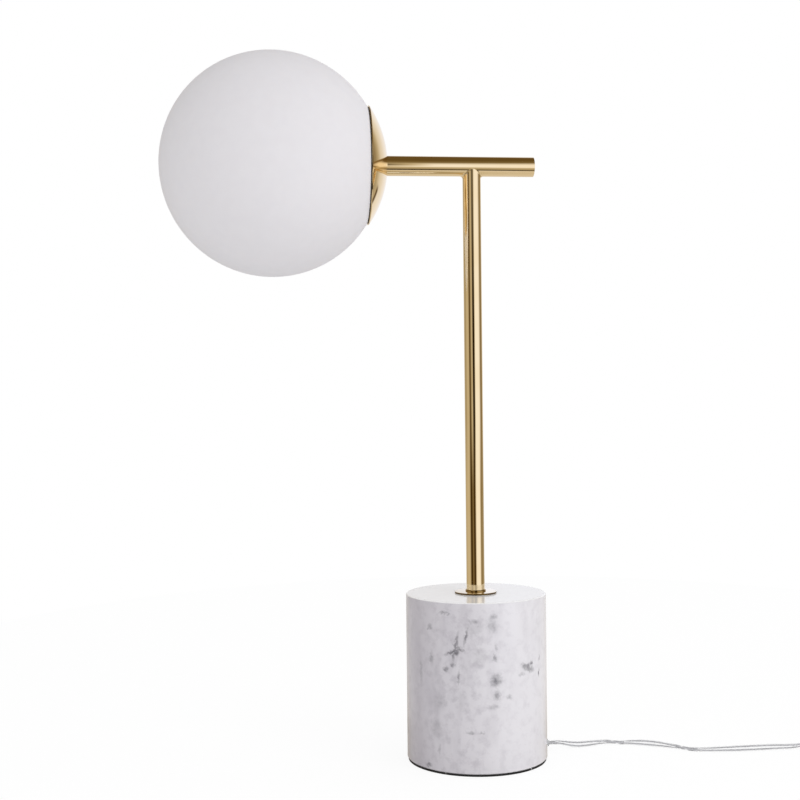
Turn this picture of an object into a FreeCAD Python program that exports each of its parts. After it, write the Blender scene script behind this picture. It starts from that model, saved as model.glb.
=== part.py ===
"""Glass globe table lamp: a marble cylinder carries a brass pole, whose cross arm holds an opal globe.

Units are millimetres. +Z is up and the origin is where the pole's axis meets the surface that the
lamp stands on. The arm runs along X: the globe hangs out at -X and the arm's open tail is at +X.
The lead leaves the base at the back of its +X side, lies on the surface and ends in a plug.
"""
import FreeCAD, Part
import math
import os

V = FreeCAD.Vector
X, Y, Z = V(1, 0, 0), V(0, 1, 0), V(0, 0, 1)

# ---------------------------------------------------------------- driving dimensions
GLOBE_R = 100.0            # a 200 mm globe
GLOBE_WALL = 3.0
GLOBE_X = -181.0           # the globe's centre, from the pole's axis
ARM_Z = 538.0              # the arm's axis above the surface
ARM_OD, ARM_WALL = 18.0, 1.5
ARM_TAIL_X = 57.0
ARM_PLUG_L = 14.0
TAIL_CAP_DEPTH, TAIL_CAP_WALL, TAIL_CAP_T, TAIL_CAP_INSET = 6.0, 1.5, 1.6, 0.4
WIRE_HOLE_R = 5.0          # in the arm's underside, over the pole
POLE_OD, POLE_WALL = 16.6, 1.3
POLE_INSERT_L = 18.0
BASE_R, BASE_TOP = 63.5, 150.0
BASE_CHAMFER = 0.8
PAD_R, PAD_T = 62.6, 2.0
FOOT_DISC_R, FOOT_DISC_T = 19.0, 1.5
FOOT_COLLAR_R, FOOT_COLLAR_H = 9.3, 1.6
EDGE_BREAK = 0.5           # on the disc and the collar
BRAZE_R = 2.4
FIT_GAP = 0.02             # all round a pressed or brazed piece
CUT_OVER = 1.0             # how far a cutting shape passes the face that it opens

DISH_R, DISH_WALL = 92.0, 1.2
DISH_X = -169.2            # the centre of the dish's round
RIM_X, RIM_R = -95.0, 53.3
RIM_LIP = 3.0              # how far the rim is turned in
GLASS_GAP = 2.2            # between the globe's shoulder and the rim
GLASS_EDGE_R = 1.4
NECK_R, NECK_WALL, NECK_LEN = 37.0, 3.5, 6.2

ROD_R, ROD_BORE_R = 5.0, 3.5        # hollow M10 rod and nipple, threads left plain
ROD_PLAY = 0.4                      # in the marble's hole
ROD_GRIP, ROD_BELOW_NUT = 16.0, 3.8
THREAD_GAP = 0.05
CAVITY_R, CAVITY_TOP = 35.0, 38.0   # the pocket under the base
WASHER_R, WASHER_T = 22.0, 2.5
LOCK_WASHER_R, LOCK_WASHER_T, LOCK_SLIT = 8.6, 2.2, 1.2
ROD_NUT_FLATS, ROD_NUT_T = 17.0, 6.0
DISH_NUT_FLATS, DISH_NUT_T = 14.0, 3.4
FITTER_WALL = 3.0

SOCKET_R, SOCKET_WALL = 18.0, 2.0   # lampholder skirt
SOCKET_CAP_L, SOCKET_SKIRT_L = 14.0, 30.0
SOCKET_SHOULDER = 4.0               # slope at the lampholder's back
SHELL_R, SHELL_T = 13.2, 0.5        # the bulb's screw shell
SHELL_PLAY = 0.5                    # between it and the lampholder's
TERMINAL_OFFSET, TERMINAL_R, TERMINAL_HEAD_R = 9.5, 1.4, 2.6
CONTACT_STEM_R = 2.0
BULB_R = 24.0
BULB_LEN, BULB_CAP_L, BULB_HOUSING_L = 88.0, 24.0, 16.0
BULB_FLARE_R = 21.0                 # the housing's wide end
LED_BOARD_R, LED_BOARD_T = 17.4, 1.2

CORD_D = 5.6               # width of the flat twin lead, 2.8 mm thick
EXIT_ANGLE = 14.0          # of the lead's groove in the base, from +X towards +Y
EXIT_Z = 6.0
GROOVE_HALF = 4.8
GROMMET_HALF = 4.7
FLANGE_HALF, FLANGE_T = 7.0, 2.0
GROMMET_TAIL_R, GROMMET_TIP_R = 3.9, 3.5
TAIL_TIP_R = 71.0          # where the lead leaves its grommet, from the pole's axis
TAIL_STRAIGHT = 10.0       # the lead runs on straight this far
LOW_BEND_R, HIGH_BEND_R = 13.0, 9.0 # of the lead inside the base and at the pole's top
CORE_R, CORE_OFFSET = 0.9, 1.4      # the lead's two cores at the lampholder

SWITCH_X, SWITCH_Y = 361.0, -14.0
SWITCH_L, SWITCH_W, SWITCH_H, SWITCH_SPLIT = 56.0, 20.0, 15.0, 6.0
SWITCH_WALL, SWITCH_CORNER_R = 2.0, 7.0
SWITCH_LOW_EDGE_R, SWITCH_TOP_EDGE_R = 1.2, 3.0
SWITCH_HOLLOW = 16.5       # half its length
SWITCH_GRIP = 4.0          # how far the lead's jacket runs into the shells
SWITCH_SCREWS = [(22.0, 6.0), (-22.0, -6.0)]
SCREW_R, SCREW_HEAD_R, SCREW_Z, SCREW_L = 1.3, 2.3, 0.6, 10.5
ROCKER_TILT = 8.0          # each way from level
ROCKER_Z = 10.5            # the rocker's pivot
ROCKER_L, ROCKER_W = 19.6, 10.0
ROCKER_WINDOW_L, ROCKER_WINDOW_W = 22.0, 10.8
PIN_R, PIN_L = 1.0, 14.0
STRIP_T, STRIP_FLOOR = 0.7, 2.1     # the fixed contacts
SWITCH_CORE_R, SWITCH_CORE_OFFSET, CORE_STUB = 1.2, 1.45, 12.0

COIL_X, COIL_Y = 440.0, 28.8
COIL_OUT_R = 42.8
COIL_TURNS = 3             # in each of the two layers
COIL_PITCH = 6.2
COIL_Z = 3.5               # the lower layer's centreline, above the strap under it
CLIMB_DIP = 2.0            # the climbing half turn runs this far inside the innermost turns
TIE_HALF, TIE_T, TIE_GAP = 5.0, 0.6, 0.4

PLUG_FACE_X = 378.0
PLUG_BODY_L, PLUG_W, PLUG_H = 24.0, 24.0, 19.2
PLUG_TAIL_L, PLUG_TAIL_R = 30.0, 6.4
PLUG_EDGE_R, PLUG_BACK_R = 5.0, 3.0
BLADE_L, BLADE_H, BLADE_T, BLADE_SPACING = 17.0, 6.35, 1.5, 12.7
BLADE_ROOT, BLADE_TIP_CHAMFER = 8.0, 1.3
BLADE_HOLE_R, BLADE_HOLE_PLACE = 1.6, 4.6

# ---------------------------------------------------------------- places worked out from them
ARM_R, ARM_IN_R = ARM_OD / 2, ARM_OD / 2 - ARM_WALL
POLE_R, POLE_IN_R = POLE_OD / 2, POLE_OD / 2 - POLE_WALL
POLE_FOOT_Z = BASE_TOP + FOOT_DISC_T
CORD_R = CORD_D / 2
DISH_IN_R = DISH_R - DISH_WALL
DISH_APEX_X = DISH_X + DISH_R
DISH_FLOOR_X = DISH_X + DISH_IN_R
ROUND_END_X = DISH_X + math.sqrt(DISH_R ** 2 - RIM_R ** 2)   # from here to the rim the dish is straight
SHOULDER_X = RIM_X - GLASS_GAP
NECK_END_X = SHOULDER_X + NECK_LEN
DISH_NUT_X = DISH_FLOOR_X - 0.37        # its outer corners meet the dish's round
SOCKET_BACK_X = DISH_NUT_X - DISH_NUT_T - THREAD_GAP
SOCKET_SEAT_X = SOCKET_BACK_X - SOCKET_CAP_L
SOCKET_MOUTH_X = SOCKET_SEAT_X - SOCKET_SKIRT_L
BULB_TIP_X = SOCKET_SEAT_X - 4.6        # the bulb's contact end
SHELL_END_X = BULB_TIP_X - BULB_CAP_L   # where the bulb's screw shell meets its housing
BULB_END_X = BULB_TIP_X - BULB_LEN
WASHER_Z = CAVITY_TOP - WASHER_T
LOCK_WASHER_Z = WASHER_Z - LOCK_WASHER_T
NUT_Z = LOCK_WASHER_Z - ROD_NUT_T
ROD_BOTTOM_Z = NUT_Z - ROD_BELOW_NUT
ROD_TOP_Z = POLE_FOOT_Z + ROD_GRIP
COIL_IN_R = COIL_OUT_R - COIL_TURNS * COIL_PITCH
COIL_TOP_Z = COIL_Z + COIL_PITCH
PLUG_Z = COIL_TOP_Z
PLUG_Y = COIL_Y + COIL_OUT_R
PLUG_TAIL_X = PLUG_FACE_X + PLUG_BODY_L

# The lead's way over the surface, from the grommet to the switch and on to the coil.
EXIT_DIRECTION = V(math.cos(math.radians(EXIT_ANGLE)), math.sin(math.radians(EXIT_ANGLE)), 0)
LEAD_TO_SWITCH = [
    EXIT_DIRECTION * TAIL_TIP_R + Z * EXIT_Z,
    EXIT_DIRECTION * (TAIL_TIP_R + TAIL_STRAIGHT) + Z * EXIT_Z,
    V(94.0, 18.4, 3.0),
    V(109.0, 20.4, 2.8),
    V(124.5, 26.6, 2.8),
    V(141.0, 25.8, 2.8),
    V(158.0, 18.8, 2.8),
    V(174.0, 9.0, 2.8),
    V(190.0, -1.4, 2.8),
    V(207.0, -11.0, 2.8),
    V(227.0, -13.6, 2.8),
    V(250.0, -15.2, 2.8),
    V(274.0, -14.6, 2.8),
    V(297.0, -15.6, 2.9),
    V(319.0, SWITCH_Y, SWITCH_SPLIT),
    V(SWITCH_X - SWITCH_L / 2 + SWITCH_GRIP, SWITCH_Y, SWITCH_SPLIT),
]
LEAD_TO_COIL = [
    V(SWITCH_X + SWITCH_L / 2 - SWITCH_GRIP, SWITCH_Y, SWITCH_SPLIT),
    V(402.0, SWITCH_Y, SWITCH_SPLIT),
    V(419.0, COIL_Y - COIL_OUT_R, COIL_Z),
    V(COIL_X - CORD_D, COIL_Y - COIL_OUT_R, COIL_Z),
]

pieces = {}


def keep(name, *solids):
    """File one node: a single solid, or several that are the same kind of piece."""
    for solid in solids:
        if not solid.isValid() or solid.Volume <= 0:
            raise ValueError(name + " is not a valid solid")
    pieces[name] = solids[0] if len(solids) == 1 else Part.makeCompound(list(solids))


def face_of(edges):
    return Part.Face(Part.Wire(Part.sortEdges(edges)[0]))


def polygon_edges(points):
    return [Part.makeLine(a, b) for a, b in zip(points, points[1:] + points[:1])]


def turned_z(profile, x=0.0, y=0.0):
    """Solid of revolution about a vertical line from (radius, height) corners."""
    points = [V(x + r, y, z) for r, z in profile]
    return face_of(polygon_edges(points)).revolve(V(x, y, 0), Z, 360)


def turned_x(profile):
    """Solid of revolution about the arm's axis from (place along X, radius) corners."""
    points = [V(x, 0, ARM_Z + r) for x, r in profile]
    return face_of(polygon_edges(points)).revolve(V(0, 0, ARM_Z), X, 360)


def ring_z(r_in, r_out, z0, z1):
    return turned_z([(r_in, z0), (r_out, z0), (r_out, z1), (r_in, z1)])


def ring_x(r_in, r_out, x0, x1):
    return turned_x([(x0, r_in), (x0, r_out), (x1, r_out), (x1, r_in)])


def dish_ball(radius):
    return Part.makeSphere(radius, V(DISH_X, 0, ARM_Z))


def box(x0, x1, y0, y1, z0, z1):
    return Part.makeBox(x1 - x0, y1 - y0, z1 - z0, V(x0, y0, z0))


def hexagon(flats, height, base, axis):
    """Hexagonal bar standing on base along axis."""
    corner = flats / 2 / math.cos(math.radians(30))
    points = [V(corner * math.cos(math.radians(a)), corner * math.sin(math.radians(a)), 0)
              for a in range(30, 390, 60)]
    bar = Part.Face(Part.makePolygon(points + points[:1])).extrude(Z * height)
    bar.Placement = FreeCAD.Placement(base, FreeCAD.Rotation(Z, axis))
    return bar


# ---------------------------------------------------------------- base
def towards_exit(shape):
    """Turn a shape built along +X so that it points along the lead's groove."""
    return shape.rotate(V(0, 0, 0), Z, EXIT_ANGLE)


def groove_tool(r0, r1, half_width, z_low):
    """Upside-down U along +X from radius r0 to r1."""
    slot = box(r0, r1, -half_width, half_width, z_low, EXIT_Z)
    crown = Part.makeCylinder(half_width, r1 - r0, V(r0, 0, EXIT_Z), X)
    above = box(r0, r1, -half_width, half_width, EXIT_Z, EXIT_Z + half_width)
    return slot.fuse(crown.common(above)).removeSplitter()


def make_base():
    c = BASE_CHAMFER
    bore = ROD_R + ROD_PLAY
    marble = turned_z([
        (bore, CAVITY_TOP), (CAVITY_R, CAVITY_TOP), (CAVITY_R, PAD_T), (BASE_R - c, PAD_T),
        (BASE_R, PAD_T + c), (BASE_R, BASE_TOP - c), (BASE_R - c, BASE_TOP), (bore, BASE_TOP)])
    groove = towards_exit(groove_tool(CAVITY_R - 2, BASE_R + CUT_OVER, GROOVE_HALF, PAD_T - CUT_OVER))
    keep("marble_base", marble.cut(groove))
    keep("foot_pad", Part.makeCylinder(PAD_R, PAD_T))


def make_base_clamp():
    keep("clamp_washer", ring_z(ROD_R + 0.3, WASHER_R, WASHER_Z, CAVITY_TOP))
    spring = ring_z(ROD_R + 0.2, LOCK_WASHER_R, LOCK_WASHER_Z, WASHER_Z)
    slit = box(0, LOCK_WASHER_R + CUT_OVER, -LOCK_SLIT / 2, LOCK_SLIT / 2,
               LOCK_WASHER_Z - CUT_OVER, WASHER_Z + CUT_OVER)
    keep("lock_washer", spring.cut(slit))
    nut = hexagon(ROD_NUT_FLATS, ROD_NUT_T, V(0, 0, NUT_Z), Z)
    thread = Part.makeCylinder(ROD_R + THREAD_GAP, ROD_NUT_T + 2 * CUT_OVER, V(0, 0, NUT_Z - CUT_OVER))
    keep("rod_nut", nut.cut(thread))
    keep("threaded_rod", ring_z(ROD_BORE_R, ROD_R, ROD_BOTTOM_Z, ROD_TOP_Z))


def make_grommet():
    end, root = BASE_R - 0.6, BASE_R - 1.6
    flange_out = CAVITY_R - 0.4
    body = groove_tool(CAVITY_R + 0.2, end, GROMMET_HALF, PAD_T + 0.05)
    flange = box(flange_out - FLANGE_T, flange_out, -FLANGE_HALF, FLANGE_HALF, PAD_T + 0.1, EXIT_Z + FLANGE_HALF)
    flange = flange.common(Part.makeCylinder(flange_out, CAVITY_TOP))
    web = groove_tool(CAVITY_R - 1.0, CAVITY_R + 1.0, GROMMET_HALF - 0.1, PAD_T + 0.1)
    tail = Part.makeCone(GROMMET_TAIL_R, GROMMET_TIP_R, TAIL_TIP_R - root, V(root, 0, EXIT_Z), X)
    lead = Part.makeCylinder(CORD_R + THREAD_GAP, TAIL_TIP_R, V(CAVITY_R - 10, 0, EXIT_Z), X)
    solid = body.fuse([flange, web, tail]).cut(lead).removeSplitter()
    keep("cord_grommet", towards_exit(solid.Solids[0]))


def make_cord_clip():
    """A two-part saddle that grips the lead in the pocket, so that a pull doesn't reach the joints."""
    r0, r1 = 19.5, 27.5
    half_width, bolt_offset, split = 8.5, 5.9, 0.4
    bottom, top = EXIT_Z - CORD_R - 1.1, EXIT_Z + CORD_R + 2.4
    shank_r, head_r, head_t = 1.2, 2.1, 1.4
    lower = box(r0, r1, -half_width, half_width, bottom, EXIT_Z)
    upper = box(r0, r1, -half_width, half_width, EXIT_Z + split, top)
    lead = Part.makeCylinder(CORD_R + 0.08, r1 - r0 + 2 * CUT_OVER, V(r0 - CUT_OVER, 0, EXIT_Z), X)
    screws = []
    holes = []
    for side in (-1, 1):
        place = V((r0 + r1) / 2, side * bolt_offset, bottom + 0.4)
        shank = Part.makeCylinder(shank_r, top - place.z, place)
        head = Part.makeCylinder(head_r, head_t, V(place.x, place.y, top))
        screws.append(towards_exit(shank.fuse(head).removeSplitter()))
        holes.append(Part.makeCylinder(shank_r + THREAD_GAP, top, place))
    keep("cord_clip", towards_exit(lower.cut([lead] + holes)), towards_exit(upper.cut([lead] + holes)))
    keep("clip_screws", *screws)


# ---------------------------------------------------------------- pole and arm
def arm_bar(radius, x0, x1):
    return Part.makeCylinder(radius, x1 - x0, V(x0, 0, ARM_Z), X)


def make_pole():
    keep("foot_disc", turned_z([
        (ROD_R + 0.2, BASE_TOP), (FOOT_DISC_R, BASE_TOP), (FOOT_DISC_R, POLE_FOOT_Z - EDGE_BREAK),
        (FOOT_DISC_R - EDGE_BREAK, POLE_FOOT_Z), (ROD_R + 0.2, POLE_FOOT_Z)]))
    hole, top = POLE_R + FIT_GAP, POLE_FOOT_Z + FOOT_COLLAR_H
    keep("foot_collar", turned_z([
        (hole, POLE_FOOT_Z), (FOOT_COLLAR_R, POLE_FOOT_Z), (FOOT_COLLAR_R, top - EDGE_BREAK),
        (FOOT_COLLAR_R - EDGE_BREAK, top), (hole, top)]))
    keep("pole_insert", ring_z(ROD_R + THREAD_GAP, POLE_IN_R - FIT_GAP, POLE_FOOT_Z, POLE_FOOT_Z + POLE_INSERT_L))
    tube = ring_z(POLE_IN_R, POLE_R, POLE_FOOT_Z, ARM_Z)
    keep("pole_tube", tube.cut(arm_bar(ARM_R, -POLE_OD, POLE_OD)))


def make_arm():
    start = DISH_APEX_X - 2 * CUT_OVER
    tube = arm_bar(ARM_R, start, ARM_TAIL_X).cut(arm_bar(ARM_IN_R, start - CUT_OVER, ARM_TAIL_X + CUT_OVER))
    tube = tube.cut(dish_ball(DISH_R))
    wire_hole = Part.makeCylinder(WIRE_HOLE_R, ARM_R + CUT_OVER, V(0, 0, ARM_Z - ARM_R - CUT_OVER))
    keep("arm_tube", tube.cut(wire_hole))
    face, bore, skirt_end = ARM_TAIL_X - TAIL_CAP_INSET, ARM_IN_R - FIT_GAP, ARM_TAIL_X - TAIL_CAP_DEPTH
    keep("tail_cap", turned_x([
        (skirt_end, ARM_IN_R - TAIL_CAP_WALL), (skirt_end, bore), (face - TAIL_CAP_INSET, bore),
        (face, bore - TAIL_CAP_INSET), (face, 0), (face - TAIL_CAP_T, 0),
        (face - TAIL_CAP_T, ARM_IN_R - TAIL_CAP_WALL)]))
    plug_x = DISH_APEX_X + 0.4
    keep("arm_plug", ring_x(ROD_R + THREAD_GAP, ARM_IN_R - FIT_GAP, plug_x, plug_x + ARM_PLUG_L))


def make_braze():
    """The concave bead of brazing metal in the corner between pole and arm."""
    pole = Part.makeCylinder(POLE_R, 2 * POLE_OD, V(0, 0, ARM_Z - 2 * POLE_OD))
    arm = arm_bar(ARM_R, -POLE_OD, POLE_OD)
    joined = pole.fuse(arm).removeSplitter()
    seam = [e for e in joined.Edges
            if e.BoundBox.ZMax < ARM_Z - 1 and e.BoundBox.ZMin > ARM_Z - ARM_R - 1 and e.BoundBox.XLength > 2]
    bead = joined.makeFillet(BRAZE_R, seam).cut(joined)
    keep("braze_bead", max(bead.Solids, key=lambda s: s.Volume))


# ---------------------------------------------------------------- head
def make_dish():
    shell = dish_ball(DISH_R).cut(dish_ball(DISH_IN_R))
    half = RIM_R + 5 * CUT_OVER
    shell = shell.common(box(ROUND_END_X, DISH_APEX_X + CUT_OVER, -half, half, ARM_Z - half, ARM_Z + half))
    edge = turned_x([
        (RIM_X, RIM_R - RIM_LIP), (RIM_X, RIM_R), (ROUND_END_X, RIM_R), (ROUND_END_X, RIM_R - DISH_WALL),
        (RIM_X + DISH_WALL, RIM_R - DISH_WALL), (RIM_X + DISH_WALL, RIM_R - RIM_LIP)])
    centre_hole = arm_bar(ROD_R + 0.1, DISH_FLOOR_X - CUT_OVER, DISH_APEX_X + CUT_OVER)
    keep("dish_cap", shell.fuse(edge).removeSplitter().cut(centre_hole))
    nut = hexagon(DISH_NUT_FLATS, DISH_NUT_T, V(DISH_NUT_X, 0, ARM_Z), X * -1)
    keep("dish_nut", nut.cut(arm_bar(ROD_R + THREAD_GAP, DISH_NUT_X - DISH_NUT_T - CUT_OVER, DISH_NUT_X + CUT_OVER)))
    ring_r = NECK_R + 0.4
    ring = ring_x(ring_r, ring_r + FITTER_WALL, RIM_X + DISH_WALL + 0.2, DISH_APEX_X)
    keep("fitter_ring", ring.common(dish_ball(DISH_IN_R - FIT_GAP)))
    keep("glass_gasket", ring_x(RIM_R - RIM_LIP - 1.6, RIM_R - 1.4, SHOULDER_X + 0.3, RIM_X))
    keep("head_nipple", ring_x(ROD_BORE_R, ROD_R, SOCKET_BACK_X - 6.5, DISH_APEX_X + 13.0))


def make_globe():
    """Blown glass: a ball cut flat at the shoulder, drawn in to a short neck."""
    outer, inner = GLOBE_R, GLOBE_R - GLOBE_WALL
    edge_r = math.sqrt(outer ** 2 - (SHOULDER_X - GLOBE_X) ** 2)
    back_x = SHOULDER_X - GLOBE_WALL
    inner_r = math.sqrt(inner ** 2 - (back_x - GLOBE_X) ** 2)

    def at(x, r):
        return V(x, 0, ARM_Z + r)

    def half_way(radius, end):
        angle = (math.pi + math.atan2(end.z - ARM_Z, end.x - GLOBE_X)) / 2
        return at(GLOBE_X + radius * math.cos(angle), radius * math.sin(angle))

    shoulder, bottom = at(SHOULDER_X, edge_r), at(back_x, inner_r)
    outside = Part.Arc(at(GLOBE_X - outer, 0), half_way(outer, shoulder), shoulder).toShape()
    inside = Part.Arc(bottom, half_way(inner, bottom), at(GLOBE_X - inner, 0)).toShape()
    corners = [shoulder, at(SHOULDER_X, NECK_R), at(NECK_END_X, NECK_R), at(NECK_END_X, NECK_R - NECK_WALL),
               at(back_x, NECK_R - NECK_WALL), bottom]
    lines = [Part.makeLine(a, b) for a, b in zip(corners, corners[1:])]
    closing = Part.makeLine(at(GLOBE_X - inner, 0), at(GLOBE_X - outer, 0))
    glass = face_of([outside] + lines + [inside, closing]).revolve(V(0, 0, ARM_Z), X, 360)
    rounded = [e for e in glass.Edges if e.Closed and abs(e.BoundBox.XMin - SHOULDER_X) < 0.01
               and abs(e.BoundBox.ZMax - ARM_Z - edge_r) < 0.05]
    keep("globe_glass", glass.makeFillet(GLASS_EDGE_R, rounded))


def make_lampholder():
    back, seat, mouth = SOCKET_BACK_X, SOCKET_SEAT_X, SOCKET_MOUTH_X
    inside = SOCKET_R - SOCKET_WALL
    shoulder = back - SOCKET_SHOULDER
    keep("lampholder_cap", turned_x([
        (back, ROD_R + THREAD_GAP), (back, SOCKET_R - SOCKET_SHOULDER), (shoulder, SOCKET_R), (seat, SOCKET_R),
        (seat, inside), (shoulder, inside), (shoulder, ROD_R + THREAD_GAP)]))
    insert_back, insert_front = seat + 2.0, seat - 3.0
    inner_face = insert_front - 0.1
    insert = ring_x(CONTACT_STEM_R + 0.2, inside - 0.1, insert_front, insert_back)
    liner = SOCKET_R - 3.4
    keep("lampholder_skirt", turned_x([
        (seat - FIT_GAP, inside), (seat - FIT_GAP, SOCKET_R), (mouth + 1, SOCKET_R), (mouth, SOCKET_R - 0.8),
        (mouth, liner + 0.2), (mouth + 1.5, liner), (inner_face, liner), (inner_face, inside)]))
    shell_in, shell_out, shell_hole = SHELL_R + SHELL_PLAY, SHELL_R + SHELL_PLAY + 0.6, 6.0
    keep("screw_shell", turned_x([
        (inner_face, shell_hole), (inner_face, shell_out), (mouth + 4, shell_out), (mouth + 4, shell_in),
        (inner_face - 0.6, shell_in), (inner_face - 0.6, shell_hole)]))
    keep("centre_contact", turned_x([
        (seat - 4.2, 0), (seat - 4.2, 3.0), (inner_face, 3.4), (inner_face, CONTACT_STEM_R),
        (insert_back + 2.0, CONTACT_STEM_R), (insert_back + 2.0, 0)]))
    screws = []
    holes = []
    for side in (-1, 1):
        place = V(insert_back, side * TERMINAL_OFFSET, ARM_Z)
        shank = Part.makeCylinder(TERMINAL_R, 4.0, place - X * 3.5, X)
        screws.append(Part.makeCylinder(TERMINAL_HEAD_R, 1.6, place, X).fuse(shank).removeSplitter())
        holes.append(Part.makeCylinder(TERMINAL_R + THREAD_GAP, 9.0, place - X * 6.0, X))
    keep("lampholder_insert", insert.cut(holes))
    keep("terminal_screws", *screws)


def make_bulb():
    tip, shell_end, end = BULB_TIP_X, SHELL_END_X, BULB_END_X
    housing_end = shell_end - BULB_HOUSING_L
    lining = SHELL_R - SHELL_T - 0.05
    keep("bulb_contact", turned_x([(tip, 0), (tip, 2.4), (tip - 1.0, 4.4), (tip - 1.6, 4.4), (tip - 1.6, 0)]))
    keep("bulb_insulator", turned_x([(tip - 1.65, 0), (tip - 1.65, 7.0), (tip - 4.0, 11.6), (tip - 4.6, 11.6),
                                     (tip - 4.6, 0)]))
    keep("bulb_cap", turned_x([
        (tip - 4.65, 11.9), (tip - 6.0, SHELL_R), (shell_end, SHELL_R), (shell_end, SHELL_R - SHELL_T),
        (tip - 6.2, SHELL_R - SHELL_T), (tip - 4.65, 11.3)]))
    keep("bulb_housing", turned_x([
        (shell_end + 8.0, SHELL_R - 2.6), (shell_end + 8.0, lining), (shell_end - 0.05, lining),
        (shell_end - 0.05, SHELL_R + 1.0), (housing_end, BULB_FLARE_R), (housing_end, BULB_FLARE_R - 1.8),
        (shell_end - 1.0, SHELL_R - 0.8)]))
    keep("led_board", Part.makeCylinder(LED_BOARD_R, LED_BOARD_T, V(housing_end + 0.6, 0, ARM_Z), X))
    centre_x = end + BULB_R
    start = V(housing_end - 0.05, 0, ARM_Z + BULB_FLARE_R)
    crown = V(centre_x, 0, ARM_Z + BULB_R)
    nose = V(end, 0, ARM_Z)
    bend = V((start.x + crown.x) / 2, 0, ARM_Z + BULB_R - 0.9)
    dome = V(centre_x - BULB_R * math.cos(math.pi / 4), 0, ARM_Z + BULB_R * math.sin(math.pi / 4))
    outline = [Part.Arc(start, bend, crown).toShape(), Part.Arc(crown, dome, nose).toShape(),
               Part.makeLine(nose, V(start.x, 0, ARM_Z)), Part.makeLine(V(start.x, 0, ARM_Z), start)]
    dome_solid = face_of(outline).revolve(V(0, 0, ARM_Z), X, 360)
    hollow = turned_x([(start.x + 1, 0), (start.x + 1, 18.0), (start.x - 2, 19.6), (centre_x, BULB_R - 1.6),
                       (centre_x - 12, 18.2), (centre_x - 20, 8.0), (centre_x - 20, 0)])
    keep("bulb_diffuser", dome_solid.cut(hollow))


# ---------------------------------------------------------------- tubes and the lead
def tube_on(path_edges, diameter):
    """Round tube swept along joined lines and arcs."""
    path = Part.Wire(path_edges)
    first = path_edges[0]
    start = first.valueAt(first.FirstParameter)
    heading = first.tangentAt(first.FirstParameter)
    ring = Part.Wire(Part.Circle(start, heading, diameter / 2).toShape())
    shell = Part.BRepOffsetAPI.MakePipeShell(path)
    shell.add(ring)
    shell.build()
    shell.makeSolid()
    return Part.Solid(shell.shape())


def rounded_route(points):
    """Lines through the points, each corner rounded with 0.45 of its shorter run."""
    edges = []
    radii = []
    here = points[0]
    for before, corner, after in zip(points, points[1:], points[2:]):
        run_in, run_out = corner - before, after - corner
        half_turn = run_in.getAngle(run_out) / 2
        reach = 0.45 * min(run_in.Length, run_out.Length)
        radii.append(reach / math.tan(half_turn))
        to_before = (before - corner).normalize()
        to_after = (after - corner).normalize()
        start, end = corner + to_before * reach, corner + to_after * reach
        centre = corner + (to_before + to_after).normalize() * (reach / math.sin(math.pi / 2 - half_turn)
                                                                 / math.tan(half_turn))
        middle = centre + (corner - centre).normalize() * radii[-1]
        edges += [Part.makeLine(here, start), Part.Arc(start, middle, end).toShape()]
        here = end
    edges.append(Part.makeLine(here, points[-1]))
    return edges, radii


def lead_stretch(name, points):
    edges, radii = rounded_route(points)
    solid = tube_on(edges, CORD_D)
    length = sum(e.Length for e in edges)
    section = math.pi * CORD_R ** 2
    keep(name, solid)
    print(name, "radii", [round(r) for r in radii], "length", round(length, 1),
          "volume ratio", round(solid.Volume / section / length, 4))
    return length


def arc_leaving(start, heading, end):
    """Circular arc that leaves start along heading and reaches end."""
    chord = end - start
    across = (chord - heading * chord.dot(heading)).normalize()
    radius = chord.dot(chord) / (2 * chord.dot(across))
    centre = start + across * radius
    middle = centre + ((start + end) / 2 - centre).normalize() * abs(radius)
    return Part.Arc(start, middle, end).toShape()


def biarc(start, heading, end, heading_end):
    """Two arcs with a common tangent between two points with given headings."""
    chord, both = end - start, heading + heading_end
    spread = 2 * (1 - heading.dot(heading_end))
    along = chord.dot(both)
    reach = (-along + math.sqrt(along ** 2 + spread * chord.dot(chord))) / spread
    joint = (start + heading * reach + end - heading_end * reach) / 2
    back = arc_leaving(end, heading_end * -1, joint)
    return [arc_leaving(start, heading, joint), Part.Arc(joint, back.valueAt(
        (back.FirstParameter + back.LastParameter) / 2), end).toShape()]


def coil_stations():
    """Quarter-turn points and headings: in on the lower layer, up half a turn, out on the upper one."""
    quarters = 4 * COIL_TURNS
    last = 2 * quarters + 2
    stations = []
    for k in range(last + 1):
        if k <= quarters:
            radius, rise, slope = COIL_OUT_R - COIL_PITCH * k / 4, 0.0, -1
        elif k == quarters + 1:
            radius, rise, slope = COIL_IN_R - CLIMB_DIP, 0.5, 0
        else:
            radius, rise, slope = COIL_IN_R + COIL_PITCH * (k - quarters - 2) / 4, 1.0, 1
        if k in (0, quarters, quarters + 2, last):
            slope = 0
        climb = 1.5 * COIL_PITCH / (math.pi * COIL_IN_R) if k == quarters + 1 else 0.0
        angle = math.radians(90 * k - 90)
        outward = V(math.cos(angle), math.sin(angle), 0)
        forward = V(-math.sin(angle), math.cos(angle), 0)
        point = V(COIL_X, COIL_Y, COIL_Z + COIL_PITCH * rise) + outward * radius
        heading = forward + outward * (slope * COIL_PITCH / (2 * math.pi * radius)) + Z * climb
        stations.append((point, heading.normalize()))
    return stations


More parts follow.
